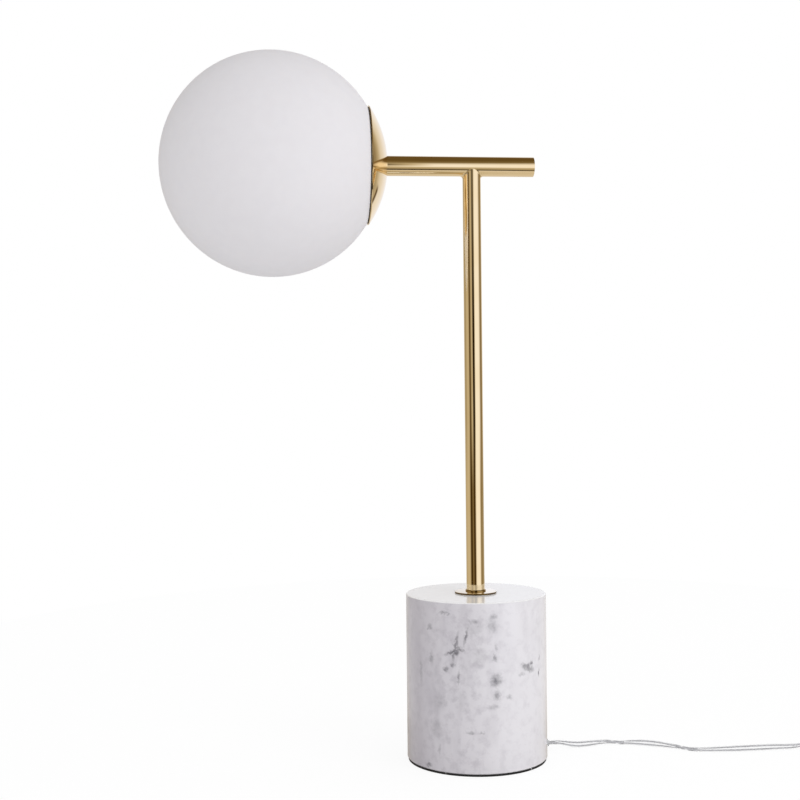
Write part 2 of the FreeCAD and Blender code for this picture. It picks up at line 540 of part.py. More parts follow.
def least_gap(edges, diameter):
    """Least clear distance of the wound tube from itself, between stretches over a third of a turn apart."""
    samples = []
    travelled = 0.0
    for edge in edges:
        steps = max(2, int(edge.Length / 2.0))
        for i in range(steps):
            t = edge.FirstParameter + (edge.LastParameter - edge.FirstParameter) * i / steps
            samples.append((travelled + edge.Length * i / steps, edge.valueAt(t)))
        travelled += edge.Length
    apart = COIL_IN_R * 2
    return min(p.distanceToPoint(q) for i, (s, p) in enumerate(samples)
               for t, q in samples[i + 1:] if t - s > apart) - diameter


def make_coil():
    stations = coil_stations()
    edges = [Part.makeLine(stations[0][0] - X * CORD_D, stations[0][0])]
    for (p, heading), (q, heading_end) in zip(stations, stations[1:]):
        edges += biarc(p, heading, q, heading_end)
    end = stations[-1][0]
    edges.append(Part.makeLine(end, V(PLUG_TAIL_X + PLUG_TAIL_L, end.y, end.z)))
    solid = tube_on(edges, CORD_D)
    length = sum(e.Length for e in edges)
    keep("cord_coil", solid)
    print("cord_coil length", round(length, 1), "least gap", round(least_gap(edges, CORD_D), 2),
          "volume ratio", round(solid.Volume / (math.pi * CORD_R ** 2) / length, 4))
    return length


def make_coil_tie():
    """A strap round all the turns on the coil's +X side."""
    x0 = COIL_X + COIL_IN_R - CLIMB_DIP - CORD_R - 3 * TIE_GAP
    x1 = COIL_X + COIL_OUT_R + CORD_R + TIE_GAP
    z0, z1 = TIE_T + 0.05, COIL_TOP_Z + CORD_R + TIE_GAP
    cut_half = TIE_HALF + CUT_OVER
    outer = box(x0 - TIE_T, x1 + TIE_T, COIL_Y - TIE_HALF, COIL_Y + TIE_HALF, z0 - TIE_T, z1 + TIE_T)
    keep("coil_tie", outer.cut(box(x0, x1, COIL_Y - cut_half, COIL_Y + cut_half, z0, z1)))


def make_inner_lead():
    """The lead inside the lamp: through the grommet, up the rod and pole, along the arm."""
    bend_low, bend_high = LOW_BEND_R, HIGH_BEND_R
    diagonal = math.cos(math.pi / 4)
    tip, turn = EXIT_DIRECTION * TAIL_TIP_R + Z * EXIT_Z, EXIT_DIRECTION * bend_low + Z * EXIT_Z
    up_low, up_high = V(0, 0, EXIT_Z + bend_low), V(0, 0, ARM_Z - bend_high)
    low_centre = EXIT_DIRECTION * bend_low + Z * (EXIT_Z + bend_low)
    low_middle = low_centre - (EXIT_DIRECTION + Z) * (bend_low * diagonal)
    along = V(-bend_high, 0, ARM_Z)
    high_middle = V(-bend_high + bend_high * diagonal, 0, ARM_Z - bend_high + bend_high * diagonal)
    end = V(SOCKET_BACK_X - 7.0, 0, ARM_Z)
    edges = [Part.makeLine(tip, turn), Part.Arc(turn, low_middle, up_low).toShape(),
             Part.makeLine(up_low, up_high), Part.Arc(up_high, high_middle, along).toShape(),
             Part.makeLine(along, end)]
    keep("inner_lead", tube_on(edges, CORD_D))
    leads = []
    for side in (-1, 1):
        corner = end + Y * (side * CORE_OFFSET) - X
        clamped = V(end.x - 2.6, side * 5.0, ARM_Z)
        leads.append(Part.makeCylinder(CORE_R, 1.0, corner, X).fuse(
            [Part.makeSphere(CORE_R, corner), rod_between(corner, clamped, CORE_R)]).removeSplitter())
    keep("socket_leads", *leads)


def rod_between(a, b, radius):
    return Part.makeCylinder(radius, (b - a).Length, a, b - a)


# ---------------------------------------------------------------- switch in the lead
def switch_place(shape):
    return shape.translate(V(SWITCH_X, SWITCH_Y, 0))


def switch_outline(z0, z1):
    """Rounded block of the switch's plan between two heights."""
    block = box(-SWITCH_L / 2, SWITCH_L / 2, -SWITCH_W / 2, SWITCH_W / 2, z0, z1)
    upright = [e for e in block.Edges if e.BoundBox.ZLength > (z1 - z0) * 0.9]
    return block.makeFillet(SWITCH_CORNER_R, upright)


def make_switch():
    side = SWITCH_W / 2 - SWITCH_WALL
    lead_bore = Part.makeCylinder(CORD_R + 0.05, SWITCH_L + 2 * CUT_OVER,
                                  V(-SWITCH_L / 2 - CUT_OVER, 0, SWITCH_SPLIT), X)
    lower = switch_outline(0, SWITCH_SPLIT)
    rim = [e for e in lower.Edges if e.BoundBox.ZMax < 0.01]
    lower = lower.makeFillet(SWITCH_LOW_EDGE_R, rim)
    upper = switch_outline(SWITCH_SPLIT, SWITCH_H)
    rim = [e for e in upper.Edges if e.BoundBox.ZMin > SWITCH_H - 0.01]
    upper = upper.makeFillet(SWITCH_TOP_EDGE_R, rim)
    lower = lower.cut([lead_bore, box(-SWITCH_HOLLOW, SWITCH_HOLLOW, -side, side,
                                      SWITCH_WALL, SWITCH_SPLIT + CUT_OVER)])
    window = box(-ROCKER_WINDOW_L / 2, ROCKER_WINDOW_L / 2, -ROCKER_WINDOW_W / 2, ROCKER_WINDOW_W / 2,
                 SWITCH_SPLIT, SWITCH_H + CUT_OVER)
    upper = upper.cut([lead_bore, window, box(-SWITCH_HOLLOW, SWITCH_HOLLOW, -side, side,
                                              SWITCH_SPLIT - CUT_OVER, ROCKER_Z - 2.5)])
    pin = Part.makeCylinder(PIN_R, PIN_L, V(0, -PIN_L / 2, ROCKER_Z), Y)
    upper = upper.cut(Part.makeCylinder(PIN_R + FIT_GAP, PIN_L + 1.0, V(0, -PIN_L / 2 - 0.5, ROCKER_Z), Y))
    screws = []
    for x, y in SWITCH_SCREWS:
        screws.append(switch_place(Part.makeCylinder(SCREW_R, SCREW_L, V(x, y, SCREW_Z)).fuse(
            Part.makeCylinder(SCREW_HEAD_R, 1.5, V(x, y, SCREW_Z))).removeSplitter()))
        hole = Part.makeCylinder(SCREW_R + 0.05, SCREW_L + 1.5, V(x, y, -0.5))
        recess = Part.makeCylinder(SCREW_HEAD_R + 0.2, 2.2 + CUT_OVER, V(x, y, -CUT_OVER))
        lower = lower.cut([hole, recess])
        upper = upper.cut(hole)
    keep("switch_lower_shell", switch_place(lower))
    keep("switch_upper_shell", switch_place(upper))
    keep("switch_screws", *screws)
    keep("rocker_pin", switch_place(pin))
    make_rocker()
    make_switch_metal()


def tilt(shape):
    """Swing a rocker piece from level to the position that the lamp is shown in."""
    return shape.rotate(V(0, 0, ROCKER_Z), Y, -ROCKER_TILT)


def make_rocker():
    half, top, hollow_top, shoulder, foot, foot_half = ROCKER_L / 2, 17.0, 15.9, 12.2, 8.6, 3.6
    profile = [(-half, top), (-half, shoulder), (-foot_half, foot), (foot_half, foot), (half, shoulder), (half, top),
               (0.0, hollow_top)]
    points = [V(x, -ROCKER_W / 2, z) for x, z in profile]
    rocker = Part.Face(Part.makePolygon(points + points[:1])).extrude(Y * ROCKER_W)
    long_edges = [e for e in rocker.Edges if e.BoundBox.ZMin > hollow_top - 0.4 and e.BoundBox.YLength < 0.01]
    rocker = rocker.makeFillet(0.8, long_edges)
    rocker = rocker.cut(Part.makeCylinder(PIN_R + 0.05, PIN_L, V(0, -PIN_L / 2, ROCKER_Z), Y))
    keep("switch_rocker", switch_place(tilt(rocker)))
    bridge = box(-8.0, 8.0, -4.7, -0.5, foot - STRIP_T, foot)
    keep("rocker_contact", switch_place(tilt(bridge)))


def make_switch_metal():
    """Fixed brass strips under the see-saw bridge: one at its middle, one that it presses when on."""
    low, high = -4.3, -0.9
    floor, top = STRIP_FLOOR, STRIP_FLOOR + STRIP_T
    foot = SWITCH_HOLLOW - 2.5
    bridge_rest = 7.3
    bridge_pressed = 6.2
    middle = box(-foot, 1.5, low, high, floor, top).fuse(box(-1.5, 1.5, low, high, floor, bridge_rest))
    far = box(6.5, foot, low, high, floor, top).fuse(box(6.5, 8.5, low, high, floor, bridge_pressed))
    keep("switch_terminals", *[switch_place(strip.removeSplitter()) for strip in (middle, far)])
    span, side = SWITCH_L - 2 * SWITCH_GRIP, SWITCH_CORE_OFFSET
    through = Part.makeCylinder(SWITCH_CORE_R, span, V(-span / 2, side, SWITCH_SPLIT), X)
    stubs = [Part.makeCylinder(SWITCH_CORE_R, CORE_STUB, V(-span / 2, -side, SWITCH_SPLIT), X),
             Part.makeCylinder(SWITCH_CORE_R, CORE_STUB, V(span / 2 - CORE_STUB, -side, SWITCH_SPLIT), X)]
    keep("switch_cores", *[switch_place(core) for core in [through] + stubs])


# ---------------------------------------------------------------- plug
def make_plug():
    back = PLUG_TAIL_X
    body = box(PLUG_FACE_X, back, PLUG_Y - PLUG_W / 2, PLUG_Y + PLUG_W / 2, PLUG_Z - PLUG_H / 2, PLUG_Z + PLUG_H / 2)
    along = [e for e in body.Edges if e.BoundBox.XLength > PLUG_BODY_L * 0.9]
    body = body.makeFillet(PLUG_EDGE_R, along)
    ends = [e for e in body.Edges if e.BoundBox.XMin > back - 0.01]
    body = body.makeFillet(PLUG_BACK_R, ends)
    tail = Part.makeCone(PLUG_TAIL_R, CORD_R + 0.9, PLUG_TAIL_L + 1, V(back - 1, PLUG_Y, PLUG_Z), X)
    root, tip = PLUG_FACE_X + BLADE_ROOT, PLUG_FACE_X - BLADE_L
    z0, z1 = PLUG_Z - BLADE_H / 2, PLUG_Z + BLADE_H / 2
    slots = []
    blades = []
    for side in (-1, 1):
        y = PLUG_Y + side * BLADE_SPACING / 2
        slots.append(box(PLUG_FACE_X - CUT_OVER, root, y - BLADE_T / 2, y + BLADE_T / 2, z0, z1))
        blade = box(tip, root, y - BLADE_T / 2, y + BLADE_T / 2, z0, z1)
        tips = [e for e in blade.Edges if e.BoundBox.XMax < tip + 0.01 and e.BoundBox.YLength > 0.5 * BLADE_T]
        blade = blade.makeChamfer(BLADE_TIP_CHAMFER, tips)
        hole = Part.makeCylinder(BLADE_HOLE_R, 4 * BLADE_T, V(tip + BLADE_HOLE_PLACE, y - 2 * BLADE_T, PLUG_Z), Y)
        blades.append(blade.cut(hole))
    keep("plug_body", body.fuse(tail).removeSplitter().cut(slots))
    keep("plug_blades", *blades)


def main():
    make_base()
    make_base_clamp()
    make_grommet()
    make_cord_clip()
    make_pole()
    make_arm()
    make_braze()
    make_dish()
    make_globe()
    make_lampholder()
    make_bulb()
    make_inner_lead()
    make_switch()
    make_plug()
    make_coil_tie()
    lengths = [lead_stretch("lead_to_switch", LEAD_TO_SWITCH), lead_stretch("lead_to_coil", LEAD_TO_COIL),
               make_coil()]
    print("free lead", round(sum(lengths) + SWITCH_L - 2 * SWITCH_GRIP, 1))
    os.makedirs("parts", exist_ok=True)
    for name, shape in pieces.items():
        shape.exportStep("parts/" + name + ".step")
    print(len(pieces), "nodes")


main()
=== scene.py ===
import math

import bpy
from mathutils import Matrix, Vector


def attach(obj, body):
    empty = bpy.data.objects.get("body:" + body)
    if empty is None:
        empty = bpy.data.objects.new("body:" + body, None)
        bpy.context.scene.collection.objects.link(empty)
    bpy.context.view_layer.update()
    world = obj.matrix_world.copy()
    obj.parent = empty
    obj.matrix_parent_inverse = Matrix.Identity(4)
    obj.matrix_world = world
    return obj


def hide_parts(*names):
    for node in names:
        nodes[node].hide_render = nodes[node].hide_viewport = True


# Looks for the glass globe table lamp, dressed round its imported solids. Places are written in millimetres
# in the solids' own frame: the pole's axis meets the surface at the origin, the globe hangs at -X.

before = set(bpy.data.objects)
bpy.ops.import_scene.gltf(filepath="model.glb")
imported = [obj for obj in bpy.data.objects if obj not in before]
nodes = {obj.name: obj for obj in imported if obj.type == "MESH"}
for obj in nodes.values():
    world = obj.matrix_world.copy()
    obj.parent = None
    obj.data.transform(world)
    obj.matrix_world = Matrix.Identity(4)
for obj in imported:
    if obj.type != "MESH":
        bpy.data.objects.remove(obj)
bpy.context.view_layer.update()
scene = bpy.context.scene
MM = 0.001

GLOBE_X, GLOBE_R, GLOBE_WALL = -181.0, 100.0, 3.0
ARM_Z, ARM_R, ARM_BORE = 538.0, 9.0, 7.5
ARM_TAIL_X = 57.0
BASE_R, BASE_TOP = 63.5, 150.0
DISH_R, DISH_X = 92.0, -169.2
RIM_X, RIM_R = -95.0, 53.3
SHOULDER_X = -96.15
NECK_END_X = -91.0


# ---------------------------------------------------------------- modelling by hand
def deselect():
    if bpy.context.object and bpy.context.object.mode != "OBJECT":
        bpy.ops.object.mode_set(mode="OBJECT")
    bpy.ops.object.select_all(action="DESELECT")


def started(name):
    """Name the primitive that was just added and open it for editing."""
    piece = bpy.context.object
    piece.name = piece.data.name = name
    bpy.ops.object.mode_set(mode="EDIT")
    return piece


def finished(piece, smooth_angle=30.0):
    bpy.ops.object.mode_set(mode="OBJECT")
    deselect()
    piece.select_set(True)
    bpy.context.view_layer.objects.active = piece
    bpy.ops.object.transform_apply(location=True, rotation=True, scale=True)
    bpy.ops.object.shade_smooth_by_angle(angle=math.radians(smooth_angle))
    return piece


def modify(piece, kind, **settings):
    deselect()
    piece.select_set(True)
    bpy.context.view_layer.objects.active = piece
    modifier = piece.modifiers.new(kind.title(), kind)
    for key, value in settings.items():
        setattr(modifier, key, value)
    bpy.ops.object.modifier_apply(modifier=modifier.name)
    return piece


def turned(name, profile, axis="Z", height=0.0, side=0.0, steps=96, closed=True, smooth_angle=30.0):
    """Spin (place along the axis, radius) corners about the pole's axis or about a level line along the arm."""
    def place(along, radius):
        point = (0, -radius, along) if axis == "Z" else (along, side, height + radius)
        return Vector(point) * MM

    deselect()
    bpy.ops.mesh.primitive_plane_add(size=MM)
    piece = started(name)
    bpy.ops.mesh.merge(type="CENTER")
    here = place(*profile[0])
    bpy.ops.transform.translate(value=here)
    for corner in profile[1:]:
        there = place(*corner)
        bpy.ops.mesh.extrude_region_move(TRANSFORM_OT_translate={"value": there - here})
        here = there
    if closed:
        bpy.ops.mesh.extrude_region_move(TRANSFORM_OT_translate={"value": place(*profile[0]) - here})
    bpy.ops.mesh.select_all(action="SELECT")
    turn = (0, 0, 1) if axis == "Z" else (1, 0, 0)
    bpy.ops.mesh.spin(steps=steps, angle=math.tau, center=(0, side * MM, height * MM), axis=turn)
    bpy.ops.mesh.select_all(action="SELECT")
    bpy.ops.mesh.remove_doubles(threshold=2e-6)
    bpy.ops.mesh.normals_make_consistent(inside=False)
    return finished(piece, smooth_angle)


def arc(centre, radius, start, end, count, offset=0.0):
    """Profile corners on an arc, angles in degrees from +along towards +radius."""
    return [(centre + radius * math.cos(math.radians(start + (end - start) * i / count)),
             offset + radius * math.sin(math.radians(start + (end - start) * i / count)))
            for i in range(count + 1)]


# ---------------------------------------------------------------- the lead
EXIT_ANGLE, EXIT_Z = math.radians(14.0), 6.0
EXIT_DIRECTION = Vector((math.cos(EXIT_ANGLE), math.sin(EXIT_ANGLE), 0))
TAIL_TIP_R, TAIL_STRAIGHT = 71.0, 10.0
SWITCH_X, SWITCH_Y, SWITCH_Z, SWITCH_HALF_GRIP = 361.0, -14.0, 6.0, 24.0
COIL_X, COIL_Y, COIL_OUT_R, COIL_PITCH, COIL_TURNS, CLIMB_DIP = 440.0, 28.8, 42.8, 6.2, 3, 2.0
COIL_Z = 3.5
PLUG_END_X = 432.0
LOBE_R, LOBE_OFFSET, WAIST = 1.4, 1.4, 0.95
CONDUCTOR_R, CONDUCTOR_OFFSET = 0.62, 1.5
CONDUCTOR_SIDES = 10
LEAD_WIDTH = 5.6
LIFT_FADE = 0.6                 # the lead sinks to its thickness until its line has risen by this
SWITCH_SIDE_REACH = 1.5         # how near the switch's line the lead counts as inside it
BEFORE_COIL = 0.4               # length of the lead, in metres, within which the switch lies
TWIST_CLEAR, TWIST_END = 4.0, 6.0


def coil_points():
    """Centreline of the put-away length: three turns inwards, a climb, three turns outwards on top."""
    per_turn = 24
    quarters = 4 * COIL_TURNS
    inner = COIL_OUT_R - COIL_TURNS * COIL_PITCH
    points = []
    for i in range(int(per_turn * (2 * quarters + 2) / 4) + 1):
        k = 4 * i / per_turn
        if k <= quarters:
            radius, rise = COIL_OUT_R - COIL_PITCH * k / 4, 0.0
        elif k < quarters + 2:
            part = (k - quarters) / 2
            radius = inner - CLIMB_DIP * math.sin(math.pi * part)
            rise = (1 - math.cos(math.pi * part)) / 2
        else:
            radius, rise = inner + COIL_PITCH * (k - quarters - 2) / 4, 1.0
        angle = math.radians(90 * k - 90)
        points.append(Vector((COIL_X + radius * math.cos(angle), COIL_Y + radius * math.sin(angle),
                              COIL_Z + COIL_PITCH * rise)))
    return points


LEAD_ROUTE = [
    EXIT_DIRECTION * TAIL_TIP_R + Vector((0, 0, EXIT_Z)),
    EXIT_DIRECTION * (TAIL_TIP_R + TAIL_STRAIGHT) + Vector((0, 0, EXIT_Z)),
    Vector((94.0, 18.4, 3.0)), Vector((109.0, 20.4, 2.8)), Vector((124.5, 26.6, 2.8)),
    Vector((141.0, 25.8, 2.8)), Vector((158.0, 18.8, 2.8)), Vector((174.0, 9.0, 2.8)),
    Vector((190.0, -1.4, 2.8)), Vector((207.0, -11.0, 2.8)), Vector((227.0, -13.6, 2.8)),
    Vector((250.0, -15.2, 2.8)), Vector((274.0, -14.6, 2.8)), Vector((297.0, -15.6, 2.9)),
    Vector((319.0, SWITCH_Y, SWITCH_Z)), Vector((337.0, SWITCH_Y, SWITCH_Z)),
    Vector((385.0, SWITCH_Y, SWITCH_Z)), Vector((402.0, SWITCH_Y, SWITCH_Z)),
    Vector((419.0, COIL_Y - COIL_OUT_R, COIL_Z)), Vector((434.4, COIL_Y - COIL_OUT_R, COIL_Z)),
] + coil_points() + [Vector((PLUG_END_X, COIL_Y + COIL_OUT_R, COIL_Z + COIL_PITCH))]


def spline_points(route, resolution):
    """The smooth line that a NURBS spline makes of the route's points, in metres."""
    curve = bpy.data.curves.new("lead_line", "CURVE")
    curve.dimensions = "3D"
    curve.resolution_u = resolution
    spline = curve.splines.new("NURBS")
    spline.points.add(len(route) - 1)
    for point, place in zip(spline.points, route):
        point.co = (*(place * MM), 1)
    spline.order_u = 3
    spline.use_endpoint_u = True
    carrier = bpy.data.objects.new("lead_line", curve)
    scene.collection.objects.link(carrier)
    mesh = bpy.data.meshes.new_from_object(carrier)
    line = [v.co.copy() for v in mesh.vertices]
    bpy.data.objects.remove(carrier)
    bpy.data.curves.remove(curve)
    bpy.data.meshes.remove(mesh)
    return line


# Where the lead lies flat, as places along X up to the switch: between them it turns over once.
FLAT_AT_X = [70.0, 137.0, 197.0, 333.0]
COIL_TWIST_LENGTH = 74.0


def twist_angles(line, travelled):
    """How far the lead's wide side has turned from flat at each point of its line."""
    flats = []
    for x in FLAT_AT_X:
        flats.append(next(s for p, s in zip(line, travelled) if p.x >= x * MM))
    enter = flats[-1]
    leave = next(s for p, s in zip(line, travelled) if p.x >= (SWITCH_X + SWITCH_HALF_GRIP + TWIST_CLEAR) * MM)
    end = travelled[-1] - TWIST_END * MM
    turns = round((end - leave) / (COIL_TWIST_LENGTH * MM))
    angles = []
    for s in travelled:
        if s <= flats[0]:
            angle = 0.0
        elif s < enter:
            k = max(i for i, f in enumerate(flats) if f <= s)
            angle = math.pi * (k + (s - flats[k]) / (flats[k + 1] - flats[k]))
        elif s <= leave:
            angle = math.pi * (len(flats) - 1)
        else:
            angle = math.pi * (len(flats) - 1 + turns * min(1.0, (s - leave) / (end - leave)))
        angles.append(angle)
    return angles


def lead_section():
    """Outline of the twin lead across its run: two round lobes and the waist between them."""
    outline = []
    for lobe, first in ((1, -120), (-1, 60)):
        for i in range(11):
            angle = math.radians(first + 24 * i)
            outline.append((lobe * LOBE_OFFSET + LOBE_R * math.cos(angle), LOBE_R * math.sin(angle)))
        outline.append((0.0, lobe * WAIST))
    return outline


def conductor_section(side):
    return [(side * CONDUCTOR_OFFSET + CONDUCTOR_R * math.cos(math.tau * i / CONDUCTOR_SIDES),
             CONDUCTOR_R * math.sin(math.tau * i / CONDUCTOR_SIDES)) for i in range(CONDUCTOR_SIDES)]


def make_lead():
    line = spline_points(LEAD_ROUTE, 4)
    travelled = [0.0]
    for a, b in zip(line, line[1:]):
        travelled.append(travelled[-1] + (b - a).length)
    angles = twist_angles(line, travelled)
    on_surface = [max(0.0, 1 - abs(p.z / MM - LEAD_WIDTH / 2) / LIFT_FADE) for p in line]
    rings = []
    for i, point in enumerate(line):
        ahead = line[min(i + 1, len(line) - 1)] - line[max(i - 1, 0)]
        ahead.normalize()
        across = Vector((0, 0, 1)).cross(ahead).normalized()
        up = ahead.cross(across)
        turn = angles[i]
        half_height = LOBE_R + LOBE_OFFSET * abs(math.sin(turn))
        sink = (LEAD_WIDTH / 2 - half_height) * on_surface[i] * MM
        wide = across * math.cos(turn) + up * math.sin(turn)
        thin = up * math.cos(turn) - across * math.sin(turn)
        rings.append((point - Vector((0, 0, sink)), wide, thin))
    hidden = [(SWITCH_X - SWITCH_HALF_GRIP) * MM, (SWITCH_X + SWITCH_HALF_GRIP) * MM]
    inside = [i for i, p in enumerate(line) if hidden[0] < p.x < hidden[1]
              and abs(p.y - SWITCH_Y * MM) < SWITCH_SIDE_REACH * MM and travelled[i] < BEFORE_COIL]
    stretches = [rings[:inside[0]], rings[inside[-1] + 1:]]
    vertices, faces, slots = [], [], []
    for stretch in stretches:
        for section, slot in ((lead_section(), 0), (conductor_section(1), 1), (conductor_section(-1), 1)):
            first, count = len(vertices), len(section)
            for centre, wide, thin in stretch:
                vertices += [centre + (wide * a + thin * b) * MM for a, b in section]
            for i in range(len(stretch) - 1):
                for j in range(count):
                    k = (j + 1) % count
                    row, after = first + i * count, first + (i + 1) * count
                    faces.append((row + j, row + k, after + k, after + j))
            faces.append(tuple(first + j for j in reversed(range(count))))
            faces.append(tuple(first + (len(stretch) - 1) * count + j for j in range(count)))
            slots += [slot] * (len(faces) - len(slots))
    mesh = bpy.data.meshes.new("power_cord")
    mesh.from_pydata(vertices, [], faces)
    mesh.update()
    piece = bpy.data.objects.new("power_cord", mesh)
    scene.collection.objects.link(piece)
    deselect()
    piece.select_set(True)
    bpy.context.view_layer.objects.active = piece
    bpy.ops.object.mode_set(mode="EDIT")
    bpy.ops.mesh.select_all(action="SELECT")
    bpy.ops.mesh.normals_make_consistent(inside=False)
    finished(piece, 50)
    for polygon, slot in zip(mesh.polygons, slots):
        polygon.material_index = slot
    return piece, line


power_cord, lead_line = make_lead()
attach(power_cord, "lamp")
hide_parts("lead_to_switch", "lead_to_coil", "cord_coil")

# ---------------------------------------------------------------- node tools
def add(tree, kind, inputs=None, **settings):
    """Add a node, set its properties and then its inputs, each a value or another node's output."""
    node = tree.nodes.new(kind)
    for key, value in settings.items():
        setattr(node, key, value)
    for key, value in (inputs or {}).items():
        if isinstance(value, bpy.types.NodeSocket):
            tree.links.new(value, node.inputs[key])
        else:
            node.inputs[key].default_value = value
    return node


def math_node(tree, operation, a, b=0.0, clamp=False):
    return add(tree, "ShaderNodeMath", {0: a, 1: b}, operation=operation, use_clamp=clamp).outputs[0]


def blend_colour(tree, factor, a, b, mode="MIX"):
    """Mix two colours, each a 3-tuple or another node's output."""
    node = add(tree, "ShaderNodeMix", data_type="RGBA", blend_type=mode)
    for socket, value in ((node.inputs[0], factor), (node.inputs[6], a), (node.inputs[7], b)):
        if isinstance(value, bpy.types.NodeSocket):
            tree.links.new(value, socket)
        else:
            socket.default_value = value if isinstance(value, (int, float)) else (*value, 1)
    return node.outputs[2]


def to_range(tree, value, low, high, new_low=0.0, new_high=1.0, smooth=False):
    return add(tree, "ShaderNodeMapRange", {0: value, 1: low, 2: high, 3: new_low, 4: new_high},
               interpolation_type="SMOOTHSTEP" if smooth else "LINEAR").outputs[0]


def ramp(tree, value, stops, interpolation="LINEAR"):
    """Colour ramp from (place, colour) stops, a colour being a level or a 3-tuple."""
    node = add(tree, "ShaderNodeValToRGB", {0: value})
    node.color_ramp.interpolation = interpolation
    elements = node.color_ramp.elements
    while len(elements) < len(stops):
        elements.new(0.5)
    for element, (place, colour) in zip(elements, stops):
        element.position = place
    for element, (place, colour) in zip(elements, stops):
        element.color = (*colour, 1) if isinstance(colour, tuple) else (colour, colour, colour, 1)
    return node.outputs[0]


def node_group(name, inputs, outputs, build):
    """A shared effect: build(tree, group inputs) gives a value for each named output."""
    tree = bpy.data.node_groups.new(name, "ShaderNodeTree")
    for label, kind, value in inputs:
        socket = tree.interface.new_socket(label, in_out="INPUT", socket_type=kind)
        if value is not None:
            socket.default_value = value
    for label, kind in outputs:
        tree.interface.new_socket(label, in_out="OUTPUT", socket_type=kind)
    given = tree.nodes.new("NodeGroupInput")
    result = tree.nodes.new("NodeGroupOutput")
    for label, socket in build(tree, given.outputs).items():
        tree.links.new(socket, result.inputs[label])
    return tree


def use_group(tree, group, inputs):
    node = tree.nodes.new("ShaderNodeGroup")
    node.node_tree = group
    for key, value in inputs.items():
        if isinstance(value, bpy.types.NodeSocket):
            tree.links.new(value, node.inputs[key])
        else:
            node.inputs[key].default_value = value
    return node.outputs


VECTOR, FLOAT = "NodeSocketVector", "NodeSocketFloat"


def build_grain(tree, given):
    """Fine even unevenness, and slow cloudiness a few times its size."""
    fine = add(tree, "ShaderNodeTexNoise", {"Vector": given["Vector"], "Scale": given["Scale"], "Detail": 4.0})
    slow_scale = math_node(tree, "MULTIPLY", given["Scale"], 0.07)
    slow = add(tree, "ShaderNodeTexNoise", {"Vector": given["Vector"], "Scale": slow_scale, "Detail": 2.0})
    return {"Fine": fine.outputs[0], "Slow": slow.outputs[0]}


def build_polish_lines(tree, given):
    """Hair-fine lines that run round an axis, as a buffing wheel leaves them. Along is the place on the axis."""
    wander = add(tree, "ShaderNodeTexNoise", {"Vector": given["Vector"], "Scale": 40.0, "Detail": 1.0})
    drift = math_node(tree, "MULTIPLY", wander.outputs[0], 0.0012)
    place = math_node(tree, "ADD", given["Along"], drift)
    lines = add(tree, "ShaderNodeTexNoise", {"W": place, "Scale": given["Lines"], "Detail": 3.0},
                noise_dimensions="1D")
    return {"Lines": lines.outputs[0]}


def build_specks(tree, given):
    """A few small round spots, Amount of them from none to many."""
    cells = add(tree, "ShaderNodeTexVoronoi", {"Vector": given["Vector"], "Scale": given["Scale"]})
    chance = add(tree, "ShaderNodeSeparateColor", {0: cells.outputs["Color"]}).outputs[0]
    chosen = math_node(tree, "LESS_THAN", chance, given["Amount"])
    near = to_range(tree, cells.outputs["Distance"], 0.05, 0.22, 1.0, 0.0, smooth=True)
    return {"Mask": math_node(tree, "MULTIPLY", near, chosen)}


grain = node_group("grain", [("Vector", VECTOR, None), ("Scale", FLOAT, 800.0)],
                   [("Fine", FLOAT), ("Slow", FLOAT)], build_grain)
polish_lines = node_group("polish_lines", [("Vector", VECTOR, None), ("Along", FLOAT, 0.0), ("Lines", FLOAT, 3000.0)],
                          [("Lines", FLOAT)], build_polish_lines)
specks = node_group("specks", [("Vector", VECTOR, None), ("Scale", FLOAT, 300.0), ("Amount", FLOAT, 0.1)],
                    [("Mask", FLOAT)], build_specks)


def new_material(name, **constants):
    """A Principled material, its plain numbers set on the shader's own sockets."""
    material = bpy.data.materials.new(name)
    material.use_nodes = True
    tree = material.node_tree
    shader = tree.nodes["Principled BSDF"]
    for key, value in constants.items():
        shader.inputs[key.replace("_", " ").title().replace("Ior", "IOR")].default_value = value
    place = tree.nodes.new("ShaderNodeTexCoord").outputs["Object"]
    return material, tree, shader, place


def bump(tree, shader, height, distance, strength=1.0):
    node = add(tree, "ShaderNodeBump", {"Height": height, "Distance": distance, "Strength": strength})
    tree.links.new(node.outputs[0], shader.inputs["Normal"])


def plain_finish(name, colour, roughness, scale=900.0, relief=0.00002, variation=0.06, **constants):
    """A moulded, cast or drawn surface: slightly uneven colour and gloss, with a fine relief."""
    material, tree, shader, place = new_material(name, **constants)
    uneven = use_group(tree, grain, {"Vector": place, "Scale": scale})
    darker = tuple(c * (1 - variation) for c in colour)
    lighter = tuple(min(1.0, c * (1 + variation)) for c in colour)
    tint = to_range(tree, uneven["Slow"], 0.35, 0.65)
    tree.links.new(blend_colour(tree, tint, darker, lighter), shader.inputs["Base Color"])
    gloss = to_range(tree, uneven["Fine"], 0.3, 0.7, roughness * 0.85, roughness * 1.15)
    tree.links.new(gloss, shader.inputs["Roughness"])
    bump(tree, shader, uneven["Fine"], relief)
    return material


